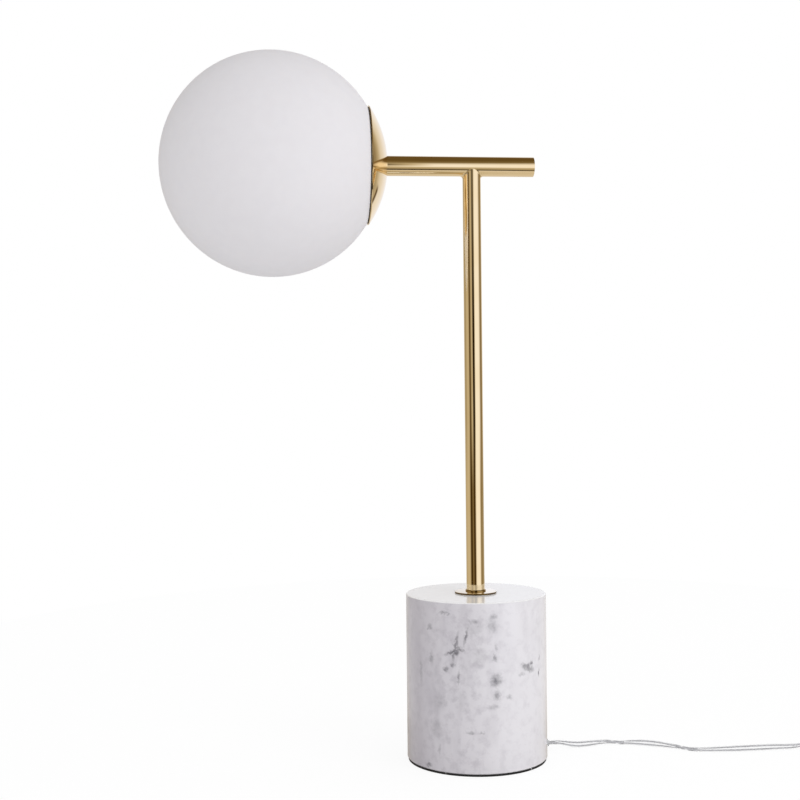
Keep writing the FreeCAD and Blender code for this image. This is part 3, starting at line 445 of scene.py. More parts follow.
# ---------------------------------------------------------------- finishes
def brass_finish(name, colour, roughness, axis, lines=2600.0, relief=0.0, tarnish=0.35):
    """Polished, lacquered brass with the faint lines of its last polish round one axis."""
    material, tree, shader, place = new_material(name, metallic=1.0)
    parts = add(tree, "ShaderNodeSeparateXYZ", {0: place}).outputs
    hair = use_group(tree, polish_lines, {"Vector": place, "Along": parts[axis], "Lines": lines})["Lines"]
    uneven = use_group(tree, grain, {"Vector": place, "Scale": 500.0})
    warm = to_range(tree, uneven["Slow"], 0.4, 0.75, 0.0, tarnish, smooth=True)
    deeper = (colour[0] * 0.93, colour[1] * 0.87, colour[2] * 0.74)
    tree.links.new(blend_colour(tree, warm, colour, deeper), shader.inputs["Base Color"])
    worn = math_node(tree, "ADD", math_node(tree, "MULTIPLY", hair, 0.5),
                     math_node(tree, "MULTIPLY", uneven["Slow"], 0.5))
    tree.links.new(to_range(tree, worn, 0.3, 0.7, roughness * 0.75, roughness * 1.3), shader.inputs["Roughness"])
    if relief:
        bump(tree, shader, hair, relief)
    return material


BRASS = (0.94, 0.77, 0.50)
polished_brass = brass_finish("polished_brass", BRASS, 0.04, 0)
arm_brass = brass_finish("arm_brass", BRASS, 0.045, 0)
pole_brass = brass_finish("pole_brass", BRASS, 0.045, 2)
# The collar's dark brown is painted shade: the contact shadow and dark reflection where the pole meets the disc.
collar_painted_shade_brass = brass_finish("collar_painted_shade_brass", (0.36, 0.24, 0.09), 0.12, 2)
contact_brass = brass_finish("contact_brass", (0.72, 0.52, 0.25), 0.3, 0, lines=1500.0, relief=0.000004)
steel = plain_finish("steel", (0.55, 0.55, 0.56), 0.34, metallic=1.0, relief=0.000006)
nickel = plain_finish("nickel", (0.66, 0.64, 0.60), 0.22, metallic=1.0, relief=0.000004)
phenolic = plain_finish("phenolic", (0.035, 0.03, 0.028), 0.36, relief=0.000012)
bulb_black = plain_finish("bulb_black", (0.02, 0.02, 0.022), 0.18, relief=0.000004)
bulb_white = plain_finish("bulb_white", (0.86, 0.86, 0.84), 0.42, relief=0.000006, variation=0.02,
                          subsurface_weight=0.15, subsurface_radius=(0.004, 0.004, 0.003))
white_moulding = plain_finish("white_moulding", (0.80, 0.80, 0.78), 0.38, scale=1400.0, relief=0.00002,
                              variation=0.02, coat_weight=0.15, coat_roughness=0.2)
silicone = plain_finish("silicone", (0.10, 0.09, 0.07), 0.6, relief=0.00001)
board = plain_finish("board", (0.78, 0.79, 0.77), 0.5, relief=0.000006)
strap = plain_finish("strap", (0.03, 0.03, 0.032), 0.75, scale=2400.0, relief=0.00006, variation=0.25)
clear_moulding = plain_finish("clear_moulding", (0.9, 0.91, 0.92), 0.12, relief=0.000004, variation=0.02,
                              transmission_weight=0.85, ior=1.4)
conductor_grey = plain_finish("conductor_grey", (0.52, 0.52, 0.54), 0.45, scale=2200.0, relief=0.00003)


def lead_jacket():
    """Clear flexible jacket: nearly colourless, soft gloss, a little cloudy."""
    material, tree, shader, place = new_material("clear_pvc", transmission_weight=0.94, ior=1.14)
    uneven = use_group(tree, grain, {"Vector": place, "Scale": 700.0})
    tree.links.new(blend_colour(tree, to_range(tree, uneven["Slow"], 0.3, 0.7), (0.96, 0.96, 0.97), (0.99, 0.99, 0.99)),
                   shader.inputs["Base Color"])
    tree.links.new(to_range(tree, uneven["Fine"], 0.3, 0.7, 0.06, 0.14), shader.inputs["Roughness"])
    bump(tree, shader, uneven["Fine"], 0.00001)
    return material


def opal_glass_finish():
    """Matt opal glass: white through and through, etched so that it shows no hot spot."""
    material, tree, shader, place = new_material("opal_glass", subsurface_weight=0.2, specular_ior_level=0.35,
                                                 subsurface_radius=(0.012, 0.011, 0.010), ior=1.5)
    uneven = use_group(tree, grain, {"Vector": place, "Scale": 1600.0})
    tree.links.new(blend_colour(tree, to_range(tree, uneven["Slow"], 0.35, 0.65), (0.775, 0.757, 0.785),
                                (0.785, 0.768, 0.795)), shader.inputs["Base Color"])
    tree.links.new(to_range(tree, uneven["Fine"], 0.3, 0.7, 0.55, 0.7), shader.inputs["Roughness"])
    bump(tree, shader, uneven["Fine"], 0.000012)
    return material


def pad_finish():
    """Black foam rubber: pores, and a few specks of white dust caught on its edge."""
    material, tree, shader, place = new_material("pad")
    uneven = use_group(tree, grain, {"Vector": place, "Scale": 1500.0})
    dust = use_group(tree, specks, {"Vector": place, "Scale": 250.0, "Amount": 0.3})["Mask"]
    foam = blend_colour(tree, to_range(tree, uneven["Fine"], 0.35, 0.65), (0.006, 0.006, 0.007), (0.03, 0.03, 0.032))
    tree.links.new(blend_colour(tree, dust, foam, (0.8, 0.8, 0.8)), shader.inputs["Base Color"])
    tree.links.new(to_range(tree, uneven["Fine"], 0.3, 0.7, 0.8, 0.95), shader.inputs["Roughness"])
    bump(tree, shader, uneven["Fine"], 0.0001)
    return material


# Smudges of the stone on its front: place round it in degrees from straight ahead (+ to the right),
# height, half width, half height in mm, lean in degrees, strength.
STONE_MARKS = [
    (-26.5, 141, 6.0, 1.8, 0, 0.6), (-22.0, 140, 2.5, 1.6, 0, 0.5), (-39.5, 128, 3.4, 3.4, 0, 0.55),
    (-41.5, 126, 2.0, 2.0, 0, 0.5), (-16.5, 112, 1.8, 17, 12, 0.62), (-18.5, 108, 9.5, 1.8, -26, 0.7),
    (-14.0, 111, 8.0, 1.6, 30, 0.6), (-16.0, 107, 4.0, 3.4, 0, 0.62), (-8.0, 121, 1.7, 12, 14, 0.55),
    (-19.0, 96, 3.4, 2.8, 0, 0.5), (-24.5, 92, 3.4, 2.8, 0, 0.45), (-14.0, 86, 1.6, 9, 4, 0.42),
    (-2.0, 134, 5.0, 3.0, 0, 0.45), (-1.0, 128, 9.0, 6.0, 0, 0.25), (12.5, 131, 6.5, 8.0, 0, 0.42),
    (14.0, 138, 5.0, 3.0, 0, 0.35), (14.5, 103, 2.4, 4.4, 0, 0.45), (15.5, 112, 1.6, 6.0, 0, 0.25),
    (16.0, 83, 6.5, 7.0, 0, 0.6), (16.0, 70, 4.0, 6.5, 0, 0.4), (26.5, 68, 3.4, 2.6, 0, 0.32),
    (13.5, 60, 6.0, 3.0, 0, 0.25), (45.0, 91, 11.0, 4.0, 24, 0.62), (49.0, 94, 3.4, 2.8, 0, 0.7),
    (61.0, 97, 1.6, 3.0, 0, 0.5), (60.0, 84, 1.2, 4.4, 6, 0.7), (38.0, 86, 4.4, 2.2, 0, 0.3),
    (-5.0, 38, 4.6, 2.0, 0, 0.42), (4.0, 38, 3.0, 1.6, 0, 0.35), (-42.0, 6, 4.6, 2.2, -20, 0.7),
    (-31.0, 22, 2.4, 5.0, 0, 0.35), (-38.0, 100, 3.0, 9.0, 0, 0.3), (-50.0, 86, 2.4, 14.0, 0, 0.25),
    (-30.0, 62, 9.0, 9.0, 0, 0.16), (-12.0, 66, 7.0, 12.0, 0, 0.14), (2.0, 104, 10.0, 10.0, 0, 0.16),
    (-34.0, 40, 8.0, 10.0, 0, 0.16), (120.0, 60, 9.0, 5.0, 12, 0.4), (150.0, 112, 2.0, 14.0, 10, 0.5),
    (-110.0, 44, 10.0, 5.0, -20, 0.45), (-150.0, 96, 6.0, 7.0, 0, 0.45), (95.0, 120, 5.0, 3.0, 30, 0.5),
    (-85.0, 118, 2.2, 12.0, -12, 0.45), (134.0, 118, 6.0, 2.4, -14, 0.45), (-128.0, 128, 3.0, 3.0, 0, 0.4),
]
# The top colour is a painted highlight for the stone's top face and rim.
STONE_GREY, STONE_WHITE, STONE_TOP_PAINTED_HIGHLIGHT = (0.63, 0.604, 0.648), (0.825, 0.807, 0.843), (0.95, 0.945, 0.945)
# The band colour is painted shade for a dark reflection near the stone's left edge.
STONE_MOTTLE, STONE_GRAIN, STONE_PAINTED_SHADE_BAND, STONE_SMUDGE = (
    (0.50, 0.475, 0.52), (0.52, 0.495, 0.54), (0.47, 0.44, 0.48), (0.17, 0.165, 0.185))
VIEW_SIDE_ANGLE = math.radians(9.3)     # the lamp is seen from this far round to the globe's side


def stone_marks(tree, place, parts):
    """The listed smudges as one mask, their outlines broken up by noise."""
    wobble = add(tree, "ShaderNodeTexNoise", {"Vector": place, "Scale": 420.0, "Detail": 3.0})
    shift = add(tree, "ShaderNodeVectorMath", {0: wobble.outputs["Color"], 1: (0.5, 0.5, 0.5)}, operation="SUBTRACT")
    turned_place = add(tree, "ShaderNodeVectorRotate", {"Vector": place, "Angle": VIEW_SIDE_ANGLE},
                       rotation_type="Z_AXIS")
    ahead = add(tree, "ShaderNodeSeparateXYZ", {0: turned_place.outputs[0]}).outputs
    back = math_node(tree, "MULTIPLY", ahead[1], -1.0)
    round_angle = add(tree, "ShaderNodeMath", {0: ahead[0], 1: back}, operation="ARCTAN2").outputs[0]
    across = math_node(tree, "MULTIPLY", round_angle, BASE_R)
    height = math_node(tree, "MULTIPLY", parts[2], 1 / MM)
    flat = add(tree, "ShaderNodeCombineXYZ", {0: across, 1: height})
    scattered = add(tree, "ShaderNodeVectorMath", {0: shift.outputs[0], 1: (5.0, 5.0, 0.0), 2: flat.outputs[0]},
                    operation="MULTIPLY_ADD").outputs[0]
    total = None
    for angle, z, half_width, half_height, lean, strength in STONE_MARKS:
        local = add(tree, "ShaderNodeMapping", {
            0: scattered, 1: (math.radians(angle) * BASE_R, z, 0), 2: (0, 0, math.radians(-lean)),
            3: (half_width, half_height, 1)}, vector_type="TEXTURE")
        far = add(tree, "ShaderNodeVectorMath", {0: local.outputs[0]}, operation="LENGTH").outputs["Value"]
        mark = to_range(tree, far, 0.1, 1.15, strength, 0.0, smooth=True)
        total = mark if total is None else math_node(tree, "MAXIMUM", total, mark)
    return total, math_node(tree, "MULTIPLY", ahead[0], 1 / MM), height


def marble_finish():
    """White polished marble: soft lilac-grey clouds, a faint upright grain and small dark smudges, with painted shade
    on the view's left side and in a band near its left edge, and a painted highlight on its top.
    """
    material, tree, shader, place = new_material("marble", coat_roughness=0.03, coat_ior=1.5, specular_ior_level=0.35,
                                                 subsurface_weight=0.12, subsurface_radius=(0.006, 0.006, 0.006))
    parts = add(tree, "ShaderNodeSeparateXYZ", {0: place}).outputs
    marks, across, height = stone_marks(tree, place, parts)
    cloud = add(tree, "ShaderNodeTexNoise", {"Vector": place, "Scale": 22.0, "Detail": 5.0, "Roughness": 0.55,
                                             "Distortion": 0.4}).outputs[0]
    mottle = add(tree, "ShaderNodeTexNoise", {"Vector": place, "Scale": 130.0, "Detail": 5.0,
                                              "Roughness": 0.62}).outputs[0]
    grain_place = add(tree, "ShaderNodeMapping", {0: place, 3: (1.0, 1.0, 0.3)})
    upright = add(tree, "ShaderNodeTexNoise", {"Vector": grain_place.outputs[0], "Scale": 75.0,
                                               "Detail": 3.0}).outputs[0]
    # Painted shade: the clouds are shifted darker towards the view's left side and lighter towards its right, and the
    # grey mottle and grain below are made stronger on the left.
    cloud_with_painted_shade = add(tree, "ShaderNodeMath", {0: cloud, 1: 60.0, 2: across}, operation="MULTIPLY_ADD").outputs[0]
    lighter = to_range(tree, cloud_with_painted_shade, -24.0, 68.0)
    colour = blend_colour(tree, lighter, STONE_GREY, STONE_WHITE)
    painted_shade_left = to_range(tree, across, 30.0, -10.0, 0.35, 1.0)
    colour = blend_colour(tree, math_node(tree, "MULTIPLY", to_range(tree, mottle, 0.47, 0.74, 0.0, 0.72), painted_shade_left),
                          colour, STONE_MOTTLE)
    colour = blend_colour(tree, math_node(tree, "MULTIPLY", to_range(tree, upright, 0.5, 0.75, 0.0, 0.5), painted_shade_left),
                          colour, STONE_GRAIN)
    # Painted shade: a darker band near the view's left edge of the stone, standing in for a dark reflection.
    left_painted_shade_band = ramp(tree, to_range(tree, across, -64.0, 0.0),
                     [(0.0, 0.0), (0.1, 0.1), (0.2, 0.36), (0.3, 0.2), (0.5, 0.0)])
    colour = blend_colour(tree, left_painted_shade_band, colour, STONE_PAINTED_SHADE_BAND)
    # Painted highlight: the stone's top face and rim are painted nearly white.
    on_top = to_range(tree, height, BASE_TOP - 0.9, BASE_TOP - 0.3)
    colour = blend_colour(tree, on_top, colour, STONE_TOP_PAINTED_HIGHLIGHT)
    broken = math_node(tree, "MULTIPLY", marks, to_range(tree, mottle, 0.35, 0.62, 0.6, 1.45), clamp=True)
    off_top = math_node(tree, "MULTIPLY", broken, math_node(tree, "SUBTRACT", 1.0, on_top))
    colour = blend_colour(tree, off_top, colour, STONE_SMUDGE)
    tree.links.new(colour, shader.inputs["Base Color"])
    tree.links.new(to_range(tree, mottle, 0.3, 0.7, 0.2, 0.24), shader.inputs["Roughness"])
    tree.links.new(to_range(tree, on_top, 0.0, 1.0, 0.12, 0.42), shader.inputs["Coat Weight"])
    bump(tree, shader, mottle, 0.0000006)
    return material


clear_pvc = lead_jacket()
opal_glass = opal_glass_finish()
pad_foam = pad_finish()
marble = marble_finish()

FINISHES = {
    "contact_brass": contact_brass, "brushed_brass": pole_brass, "nickel": nickel, "bulb_white": bulb_white,
    "bulb_black": bulb_black, "steel": steel, "strap": strap, "phenolic": phenolic, "clear_pvc": clear_pvc,
    "clear_moulding": clear_moulding, "polished_brass": polished_brass, "pad": pad_foam, "silicone": silicone,
    "opal_glass": opal_glass, "board": board, "marble": marble, "white_moulding": white_moulding,
}
for node in nodes.values():
    for slot in node.material_slots:
        slot.material = FINISHES[slot.material.name.split(".")[0]]
for name in ("arm_tube", "tail_cap"):
    nodes[name].material_slots[0].material = arm_brass
for name in ("switch_cores", "socket_leads"):
    nodes[name].material_slots[0].material = conductor_grey


def dress(piece, body, slot, material, *replaced):
    """Hand a finished piece to the frame: its finish, its body and the solids that it stands for."""
    piece.data.materials.clear()
    piece.data.materials.append(material)
    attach(piece, body)
    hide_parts(*replaced)
    return piece


# ---------------------------------------------------------------- globe, dish, arm and foot
NECK_R, NECK_WALL = 37.0, 3.5
GLASS_EDGE_R, NECK_EDGE = 1.2, 0.6
DISH_WALL, RIM_LIP = 1.2, 3.0
DISC_R, DISC_T = 19.0, 1.5


def angle_at(x, radius, centre=GLOBE_X):
    """Angle on a ball round a centre where it passes the place x."""
    return math.degrees(math.acos((x - centre) / radius))


def make_globe():
    inner = GLOBE_R - GLOBE_WALL
    back_x = SHOULDER_X - GLOBE_WALL
    edge_centre_x = SHOULDER_X - GLASS_EDGE_R
    edge_reach = GLOBE_R - GLASS_EDGE_R
    edge_angle = math.degrees(math.acos((edge_centre_x - GLOBE_X) / edge_reach))
    edge_centre_r = edge_reach * math.sin(math.radians(edge_angle))
    profile = arc(GLOBE_X, GLOBE_R, 180, edge_angle, 64)
    profile += arc(edge_centre_x, GLASS_EDGE_R, edge_angle, 0, 5, edge_centre_r)[1:]
    profile += [(SHOULDER_X, NECK_R + 1.2), (SHOULDER_X + 0.35, NECK_R + 0.35), (SHOULDER_X + 1.2, NECK_R),
                (NECK_END_X - NECK_EDGE, NECK_R), (NECK_END_X, NECK_R - NECK_EDGE),
                (NECK_END_X, NECK_R - NECK_WALL + NECK_EDGE), (NECK_END_X - NECK_EDGE, NECK_R - NECK_WALL),
                (back_x, NECK_R - NECK_WALL)]
    profile += arc(GLOBE_X, inner, angle_at(back_x, inner), 180, 48)
    return turned("opal_globe", profile, "X", ARM_Z, steps=160, closed=False)


def make_dish():
    inner = DISH_R - DISH_WALL
    hole = 5.1
    outer_start = math.degrees(math.asin(hole / DISH_R))
    inner_start = math.degrees(math.asin(hole / inner))
    outer_end = math.degrees(math.asin(RIM_R / DISH_R))
    roll, step = 0.3, 0.09
    profile = arc(DISH_X, DISH_R, outer_start, outer_end, 40)
    profile += [(RIM_X + roll, RIM_R), (RIM_X + step, RIM_R - step), (RIM_X, RIM_R - roll),
                (RIM_X, RIM_R - RIM_LIP + roll), (RIM_X + step, RIM_R - RIM_LIP + step),
                (RIM_X + roll, RIM_R - RIM_LIP), (RIM_X + DISH_WALL, RIM_R - RIM_LIP)]
    profile += arc(DISH_X, inner, angle_at(RIM_X + DISH_WALL + 0.3, inner, DISH_X), inner_start, 32)
    return turned("brass_dish", profile, "X", ARM_Z, steps=160)


def make_gasket():
    """Soft ring between the globe's shoulder and the dish's rim, its outer edge rounded."""
    back, face, edge, step = SHOULDER_X + 0.15, RIM_X - 0.02, 0.3, 0.1
    inner, outer = 48.9, 51.9
    profile = [(back, inner), (back, outer - edge), (back + step, outer - step), (back + edge, outer),
               (face - edge, outer), (face - step, outer - step), (face, outer - edge), (face, inner)]
    return turned("rim_gasket", profile, "X", ARM_Z, steps=128)


def make_arm():
    inner_x = DISH_X + math.sqrt(DISH_R ** 2 - ARM_BORE ** 2)
    outer_x = DISH_X + math.sqrt(DISH_R ** 2 - ARM_R ** 2)
    edge, step, bore_edge = 0.35, 0.1, 0.2
    profile = [(outer_x, ARM_R), (ARM_TAIL_X - edge, ARM_R), (ARM_TAIL_X - step, ARM_R - step),
               (ARM_TAIL_X, ARM_R - edge), (ARM_TAIL_X, ARM_BORE + bore_edge), (ARM_TAIL_X - bore_edge, ARM_BORE),
               (inner_x, ARM_BORE)]
    return turned("arm_pipe", profile, "X", ARM_Z, steps=128)


def make_foot_disc():
    top, hole, edge = BASE_TOP + DISC_T, 5.2, 0.6
    profile = [(BASE_TOP, hole), (BASE_TOP, DISC_R - 0.5), (BASE_TOP + 0.35, DISC_R), (top - edge, DISC_R)]
    profile += [(top - edge + edge * math.sin(math.radians(a)), DISC_R - edge + edge * math.cos(math.radians(a)))
                for a in (22.5, 45, 67.5, 90)]
    profile += [(top, hole)]
    return turned("foot_plate", profile, steps=128)


def disc_finish():
    """The foot's disc: its face painted paler than the lamp's other brass as a painted highlight, its turned edge
    painted dark brown as painted shade and made dull.
    """
    material, tree, shader, place = new_material("disc_brass_painted_light", metallic=1.0)
    parts = add(tree, "ShaderNodeSeparateXYZ", {0: place}).outputs
    rings = use_group(tree, polish_lines, {"Vector": place, "Along": parts[2], "Lines": 2600.0})["Lines"]
    # Painted light: the face above this height gets a pale painted highlight colour, and the edge below it a dark brown
    # painted shade for the shadow line between disc and stone.
    edge = to_range(tree, parts[2], (BASE_TOP + DISC_T - 0.1) * MM, (BASE_TOP + DISC_T - 0.3) * MM)
    tree.links.new(blend_colour(tree, edge, (0.96, 0.89, 0.78), (0.20, 0.13, 0.05)), shader.inputs["Base Color"])
    tree.links.new(math_node(tree, "ADD", to_range(tree, rings, 0.3, 0.7, 0.04, 0.07),
                             math_node(tree, "MULTIPLY", edge, 0.25)), shader.inputs["Roughness"])
    return material


PLUG_FACE_X, PLUG_Y, PLUG_Z = 378.0, 71.6, 9.7
PLUG_LONG, PLUG_WIDE, PLUG_HIGH = 24.0, 24.0, 19.2
PLUG_CORNER, PLUG_BACK_EDGE, PLUG_FACE_EDGE = 5.0, 3.0, 0.8
BOOT_RIBS, RIB_PITCH = 7, 3.6
BLADE_OFFSET, SLOT_HALF_T, SLOT_HALF_H, SLOT_DEEP = 6.35, 0.77, 3.195, 8.02


def edges_where(piece, test):
    """Select the edges of the open piece whose two ends pass the test, given in millimetres."""
    bpy.ops.object.mode_set(mode="OBJECT")
    points = [v.co / MM for v in piece.data.vertices]
    for polygon in piece.data.polygons:
        polygon.select = False
    for vertex in piece.data.vertices:
        vertex.select = False
    for edge in piece.data.edges:
        edge.select = test(*[points[i] for i in edge.vertices])
    bpy.ops.object.mode_set(mode="EDIT")
    bpy.ops.mesh.select_mode(type="EDGE")


def block(name, low, high):
    """A block between two corners, left open for editing."""
    deselect()
    middle = [(a + b) / 2 * MM for a, b in zip(low, high)]
    bpy.ops.mesh.primitive_cube_add(size=1, location=middle, scale=[(b - a) * MM for a, b in zip(low, high)])
    bpy.ops.object.transform_apply(location=True, rotation=True, scale=True)
    return started(name)


def make_plug():
    """The moulded plug with its ribbed strain relief and two slots for the blades."""
    back = PLUG_FACE_X + PLUG_LONG
    body = block("plug_moulding", (PLUG_FACE_X, PLUG_Y - PLUG_WIDE / 2, PLUG_Z - PLUG_HIGH / 2),
                 (back, PLUG_Y + PLUG_WIDE / 2, PLUG_Z + PLUG_HIGH / 2))
    edges_where(body, lambda a, b: abs(a.x - b.x) > 1)
    bpy.ops.mesh.bevel(offset=PLUG_CORNER * MM, segments=8)
    edges_where(body, lambda a, b: min(a.x, b.x) > back - 0.01)
    bpy.ops.mesh.bevel(offset=PLUG_BACK_EDGE * MM, segments=6)
    edges_where(body, lambda a, b: max(a.x, b.x) < PLUG_FACE_X + 0.01)
    bpy.ops.mesh.bevel(offset=PLUG_FACE_EDGE * MM, segments=3)
    bpy.ops.mesh.select_all(action="SELECT")
    bpy.ops.mesh.normals_make_consistent(inside=False)
    finished(body, 35)
    profile = [(back - 1, 0.0), (back - 1, 6.4), (back + 1.2, 6.3)]
    for k in range(BOOT_RIBS):
        start = back + 3.0 + RIB_PITCH * k
        here, groove = 6.1 - 0.36 * k, 5.1 - 0.33 * k
        profile += [(start - 0.5, here), (start - 0.15, here - 0.3), (start, groove), (start + 1.3, groove),
                    (start + 1.45, here - 0.4), (start + 1.8, here - 0.12)]
    profile += [(back + 29.7, 3.7), (back + 30, 3.4), (back + 30, 0.0)]
    boot = turned("plug_boot", profile, "X", PLUG_Z, side=PLUG_Y, steps=48, closed=False)
    modify(body, "BOOLEAN", operation="UNION", solver="EXACT", object=boot)
    bpy.data.objects.remove(boot)
    for side in (-1, 1):
        y = PLUG_Y + side * BLADE_OFFSET
        slot = finished(block("blade_slot", (PLUG_FACE_X - 2, y - SLOT_HALF_T, PLUG_Z - SLOT_HALF_H),
                              (PLUG_FACE_X + SLOT_DEEP, y + SLOT_HALF_T, PLUG_Z + SLOT_HALF_H)))
        modify(body, "BOOLEAN", operation="DIFFERENCE", solver="EXACT", object=slot)
        bpy.data.objects.remove(slot)
    return body


dress(make_globe(), "globe", "opal_glass", opal_glass, "globe_glass")
dress(make_dish(), "lamp", "polished_brass", polished_brass, "dish_cap")
dress(make_gasket(), "lamp", "silicone", silicone, "glass_gasket")
dress(make_arm(), "lamp", "brushed_brass", arm_brass, "arm_tube")
dress(make_foot_disc(), "lamp", "polished_brass", disc_finish(), "foot_disc")
nodes["foot_collar"].material_slots[0].material = collar_painted_shade_brass
plug = dress(make_plug(), "lamp", "white_moulding", white_moulding, "plug_body")
power_cord.data.materials.append(clear_pvc)
power_cord.data.materials.append(conductor_grey)

# ---------------------------------------------------------------- camera, floor and light
camera = bpy.data.objects.new("camera", bpy.data.cameras.new("camera"))
camera.data.lens, camera.data.sensor_width = 58.5, 36.0
camera.matrix_world = (
    Matrix.Translation((-0.1917, -1.1710, 0.3276)) @ Matrix.Rotation(math.radians(-6.049), 4, "Z")
    @ Matrix.Rotation(math.radians(90 - 0.072), 4, "X") @ Matrix.Rotation(math.radians(-0.574), 4, "Z"))
scene.collection.objects.link(camera)
scene.camera = camera
scene.view_settings.view_transform = "Standard"

# What polished metal and stone mirror: levels of a plain studio round the lamp, by degrees from the view's
# side (+ to the right) at two heights, and by degrees of height. The table is seen below.
STUDIO_HIGH = [
    (-180, 0.85), (-150, 0.62), (-130, 0.42), (-112, 0.38), (-88, 0.56), (-73, 0.57), (-60, 0.52), (-55, 0.42),
    (-50, 0.1), (-41, 0.1), (-32, 0.26), (-21, 0.58), (-12, 0.54), (-5, 0.02), (13, 0.02), (19, 0.55), (24, 1.0),
    (70, 1.0), (78, 0.85), (97, 0.22), (110, 0.26), (127, 0.3), (134, 0.5), (142, 0.75), (158, 0.9), (180, 0.95)]
STUDIO_LOW = [
    (-180, 0.85), (-150, 0.6), (-125, 0.48), (-112, 0.57), (-75, 0.6), (-62, 0.5), (-54, 0.2), (-47, 0.04),
    (-33, 0.07), (-20, 0.24), (-9, 0.07), (4, 0.05), (8, 0.12), (15, 0.7), (23, 1.0), (66, 1.0), (74, 0.65),
    (86, 0.27), (100, 0.28), (130, 0.4), (139, 0.5), (141, 0.1), (143, 0.1), (146, 0.85), (160, 0.92), (180, 0.95)]
STUDIO_HEIGHT = [
    (-90, 0.6), (-56, 0.6), (-54, 0.02), (-43, 0.02), (-39, 0.35), (-30, 0.48), (-20, 0.6), (12, 0.55), (24, 0.38),
    (34, 0.22), (48, 0.17), (60, 0.13), (90, 0.14)]
STUDIO_STRENGTH = 1.1
LOW_END, HIGH_START = -4, -1                    # degrees of height between the two rounds
OVERHEAD, UNDERFOOT = (28, 50), (-13, -20)      # degrees where the levels by height take over
TOWARDS_VIEW = 24                               # overhead starts so much lower on the view's side
PLAIN_LEVEL, PLAIN_RIGHT, PLAIN_BACK, PLAIN_UP = 0.88, 0.15, -0.07, -0.12
# Levels of the floor in reflections, darker near the lamp as a painted shadow.
FLOOR_MIRRORED_PAINTED_SHADOW = [(0.1, 0.42), (0.15, 0.45), (0.22, 0.64), (0.4, 0.72)]     # by metres from the lamp
STUDIO_TINT = [(0.04, (1.0, 0.5, 0.08)), (0.17, (1.0, 0.7, 0.27)), (0.34, (1.0, 0.84, 0.56)),
               (0.58, (1.0, 0.89, 0.68)), (0.87, (1.0, 0.99, 1.03)), (1.0, (1.0, 1.01, 1.08))]


def studio_colour(level):
    """Darker levels are warmer and lighter ones neutral, as in the room that the brass mirrors."""
    place = min(max(level, STUDIO_TINT[0][0]), 1.0)
    below, above = next(pair for pair in zip(STUDIO_TINT, STUDIO_TINT[1:]) if place <= pair[1][0])
    share = (place - below[0]) / (above[0] - below[0])
    return tuple(level * (a + (b - a) * share) / STUDIO_STRENGTH for a, b in zip(below[1], above[1]))


def build_world():
    world = bpy.data.worlds.new("studio")
    scene.world = world
    world.use_nodes = True
    tree = world.node_tree
    tree.nodes.clear()
    way = add(tree, "ShaderNodeTexCoord").outputs["Generated"]
    ahead = add(tree, "ShaderNodeVectorRotate", {"Vector": way, "Angle": VIEW_SIDE_ANGLE}, rotation_type="Z_AXIS")
    parts = add(tree, "ShaderNodeSeparateXYZ", {0: ahead.outputs[0]}).outputs
    back = math_node(tree, "MULTIPLY", parts[1], -1.0)
    turn = add(tree, "ShaderNodeMath", {0: parts[0], 1: back}, operation="ARCTAN2").outputs[0]
    round_place = to_range(tree, turn, -math.pi, math.pi)
    lift = add(tree, "ShaderNodeMath", {0: parts[2]}, operation="ARCSINE").outputs[0]
    height_place = to_range(tree, lift, -math.pi / 2, math.pi / 2)
    high = ramp(tree, round_place, [((a + 180) / 360, studio_colour(v)) for a, v in STUDIO_HIGH])
    low = ramp(tree, round_place, [((a + 180) / 360, studio_colour(v)) for a, v in STUDIO_LOW])
    levels = ramp(tree, height_place, [((a + 90) / 180, studio_colour(v)) for a, v in STUDIO_HEIGHT])
    sides = blend_colour(tree, to_range(tree, lift, math.radians(LOW_END), math.radians(HIGH_START)), low, high)
    towards_view = math_node(tree, "MULTIPLY", math_node(tree, "MAXIMUM", back, 0.0), math.radians(TOWARDS_VIEW))
    overhead = to_range(tree, math_node(tree, "ADD", lift, towards_view), *map(math.radians, OVERHEAD))
    underfoot = to_range(tree, lift, *map(math.radians, UNDERFOOT))
    mirrored = blend_colour(tree, math_node(tree, "MAXIMUM", overhead, underfoot), sides, levels)
    lean = math_node(tree, "ADD", math_node(tree, "MULTIPLY", parts[0], PLAIN_RIGHT),
                     math_node(tree, "MULTIPLY", parts[1], PLAIN_BACK))
    fall = math_node(tree, "MULTIPLY", parts[2], PLAIN_UP)
    plain_level = math_node(tree, "ADD", math_node(tree, "ADD", PLAIN_LEVEL, lean), fall)
    plain = add(tree, "ShaderNodeBackground", {"Color": (1, 1, 1, 1), "Strength": plain_level}).outputs[0]
    studio = add(tree, "ShaderNodeBackground", {"Color": mirrored, "Strength": STUDIO_STRENGTH}).outputs[0]
    white = add(tree, "ShaderNodeBackground", {"Color": (1, 1, 1, 1), "Strength": 1.0}).outputs[0]
    path = add(tree, "ShaderNodeLightPath").outputs
    seen = add(tree, "ShaderNodeMixShader", {0: path["Is Glossy Ray"], 1: plain, 2: studio}).outputs[0]
    direct = math_node(tree, "MAXIMUM", path["Is Camera Ray"], path["Is Transmission Ray"])
    shown = add(tree, "ShaderNodeMixShader", {0: direct, 1: seen, 2: white}).outputs[0]
    add(tree, "ShaderNodeOutputWorld", {0: shown})
    world.cycles.sampling_method = "NONE"


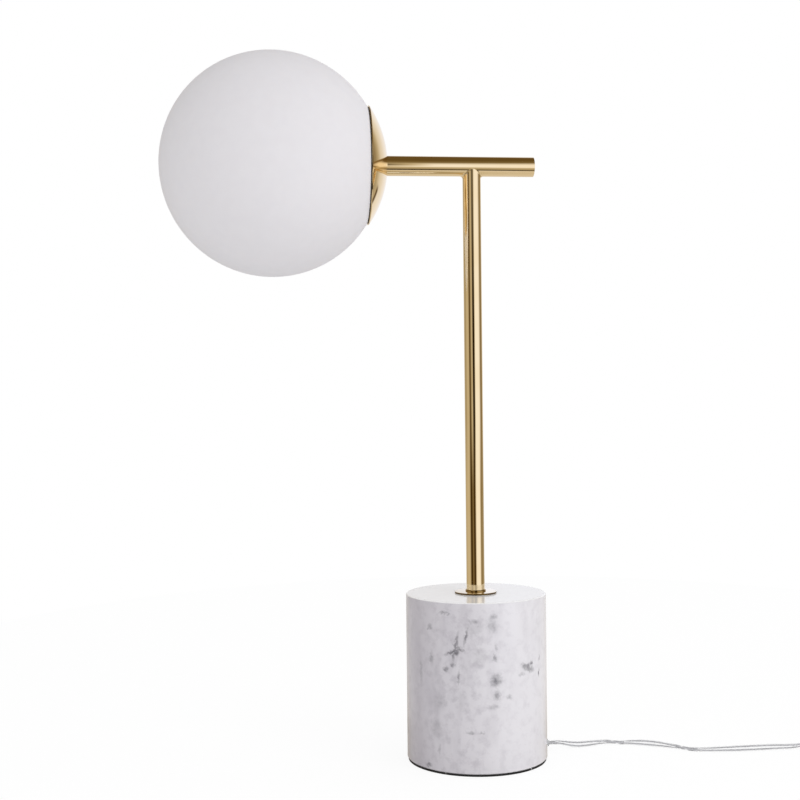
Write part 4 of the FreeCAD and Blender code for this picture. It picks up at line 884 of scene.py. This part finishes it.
def build_floor():
    """A round white table: plain white where it is seen, with a little of the lamp's shadow; in reflections a grey that
    darkens towards the lamp as a painted shadow.
    """
    deselect()
    bpy.ops.mesh.primitive_circle_add(vertices=128, radius=0.8, fill_type="NGON", location=(0.1, 0.4, 0))
    floor = bpy.context.object
    floor.name = "floor"
    bpy.ops.object.transform_apply(location=True)
    material = bpy.data.materials.new("floor_white")
    material.use_nodes = True
    tree = material.node_tree
    tree.nodes.clear()
    matt = add(tree, "ShaderNodeBsdfDiffuse", {"Color": (0.95, 0.95, 0.95, 1)}).outputs[0]
    glow = add(tree, "ShaderNodeEmission", {"Color": (1, 1, 1, 1), "Strength": 1.02}).outputs[0]
    catcher = add(tree, "ShaderNodeBsdfDiffuse", {"Color": (1, 1, 1, 1)}).outputs[0]
    bright = add(tree, "ShaderNodeMixShader", {0: 0.14, 1: glow, 2: catcher}).outputs[0]
    place = tree.nodes.new("ShaderNodeTexCoord").outputs["Object"]
    far = add(tree, "ShaderNodeVectorMath", {0: place}, operation="LENGTH").outputs["Value"]
    # Painted shadow: in reflections the floor darkens towards the lamp's foot.
    levels = ramp(tree, far, [(reach, studio_colour(level)) for reach, level in FLOOR_MIRRORED_PAINTED_SHADOW])
    mirrored = add(tree, "ShaderNodeEmission", {"Color": levels, "Strength": STUDIO_STRENGTH}).outputs[0]
    path = add(tree, "ShaderNodeLightPath").outputs
    direct = math_node(tree, "MAXIMUM", path["Is Camera Ray"], path["Is Transmission Ray"])
    shown = add(tree, "ShaderNodeMixShader", {0: path["Is Glossy Ray"], 1: matt, 2: mirrored}).outputs[0]
    shown = add(tree, "ShaderNodeMixShader", {0: direct, 1: shown, 2: bright}).outputs[0]
    add(tree, "ShaderNodeOutputMaterial", {0: shown})
    floor.data.materials.append(material)


def soft_lamp(place, aim, size, energy):
    light = bpy.data.lights.new("soft_lamp", "AREA")
    light.shape, light.size, light.energy = "DISK", size, energy
    lamp = bpy.data.objects.new("soft_lamp", light)
    lamp.location = place
    lamp.rotation_euler = (Vector(aim) - Vector(place)).to_track_quat("-Z", "Y").to_euler()
    lamp.visible_glossy = False
    scene.collection.objects.link(lamp)


build_world()
build_floor()
soft_lamp((1.3, -1.5, 1.5), (0, 0, 0.35), 1.2, 6.0)
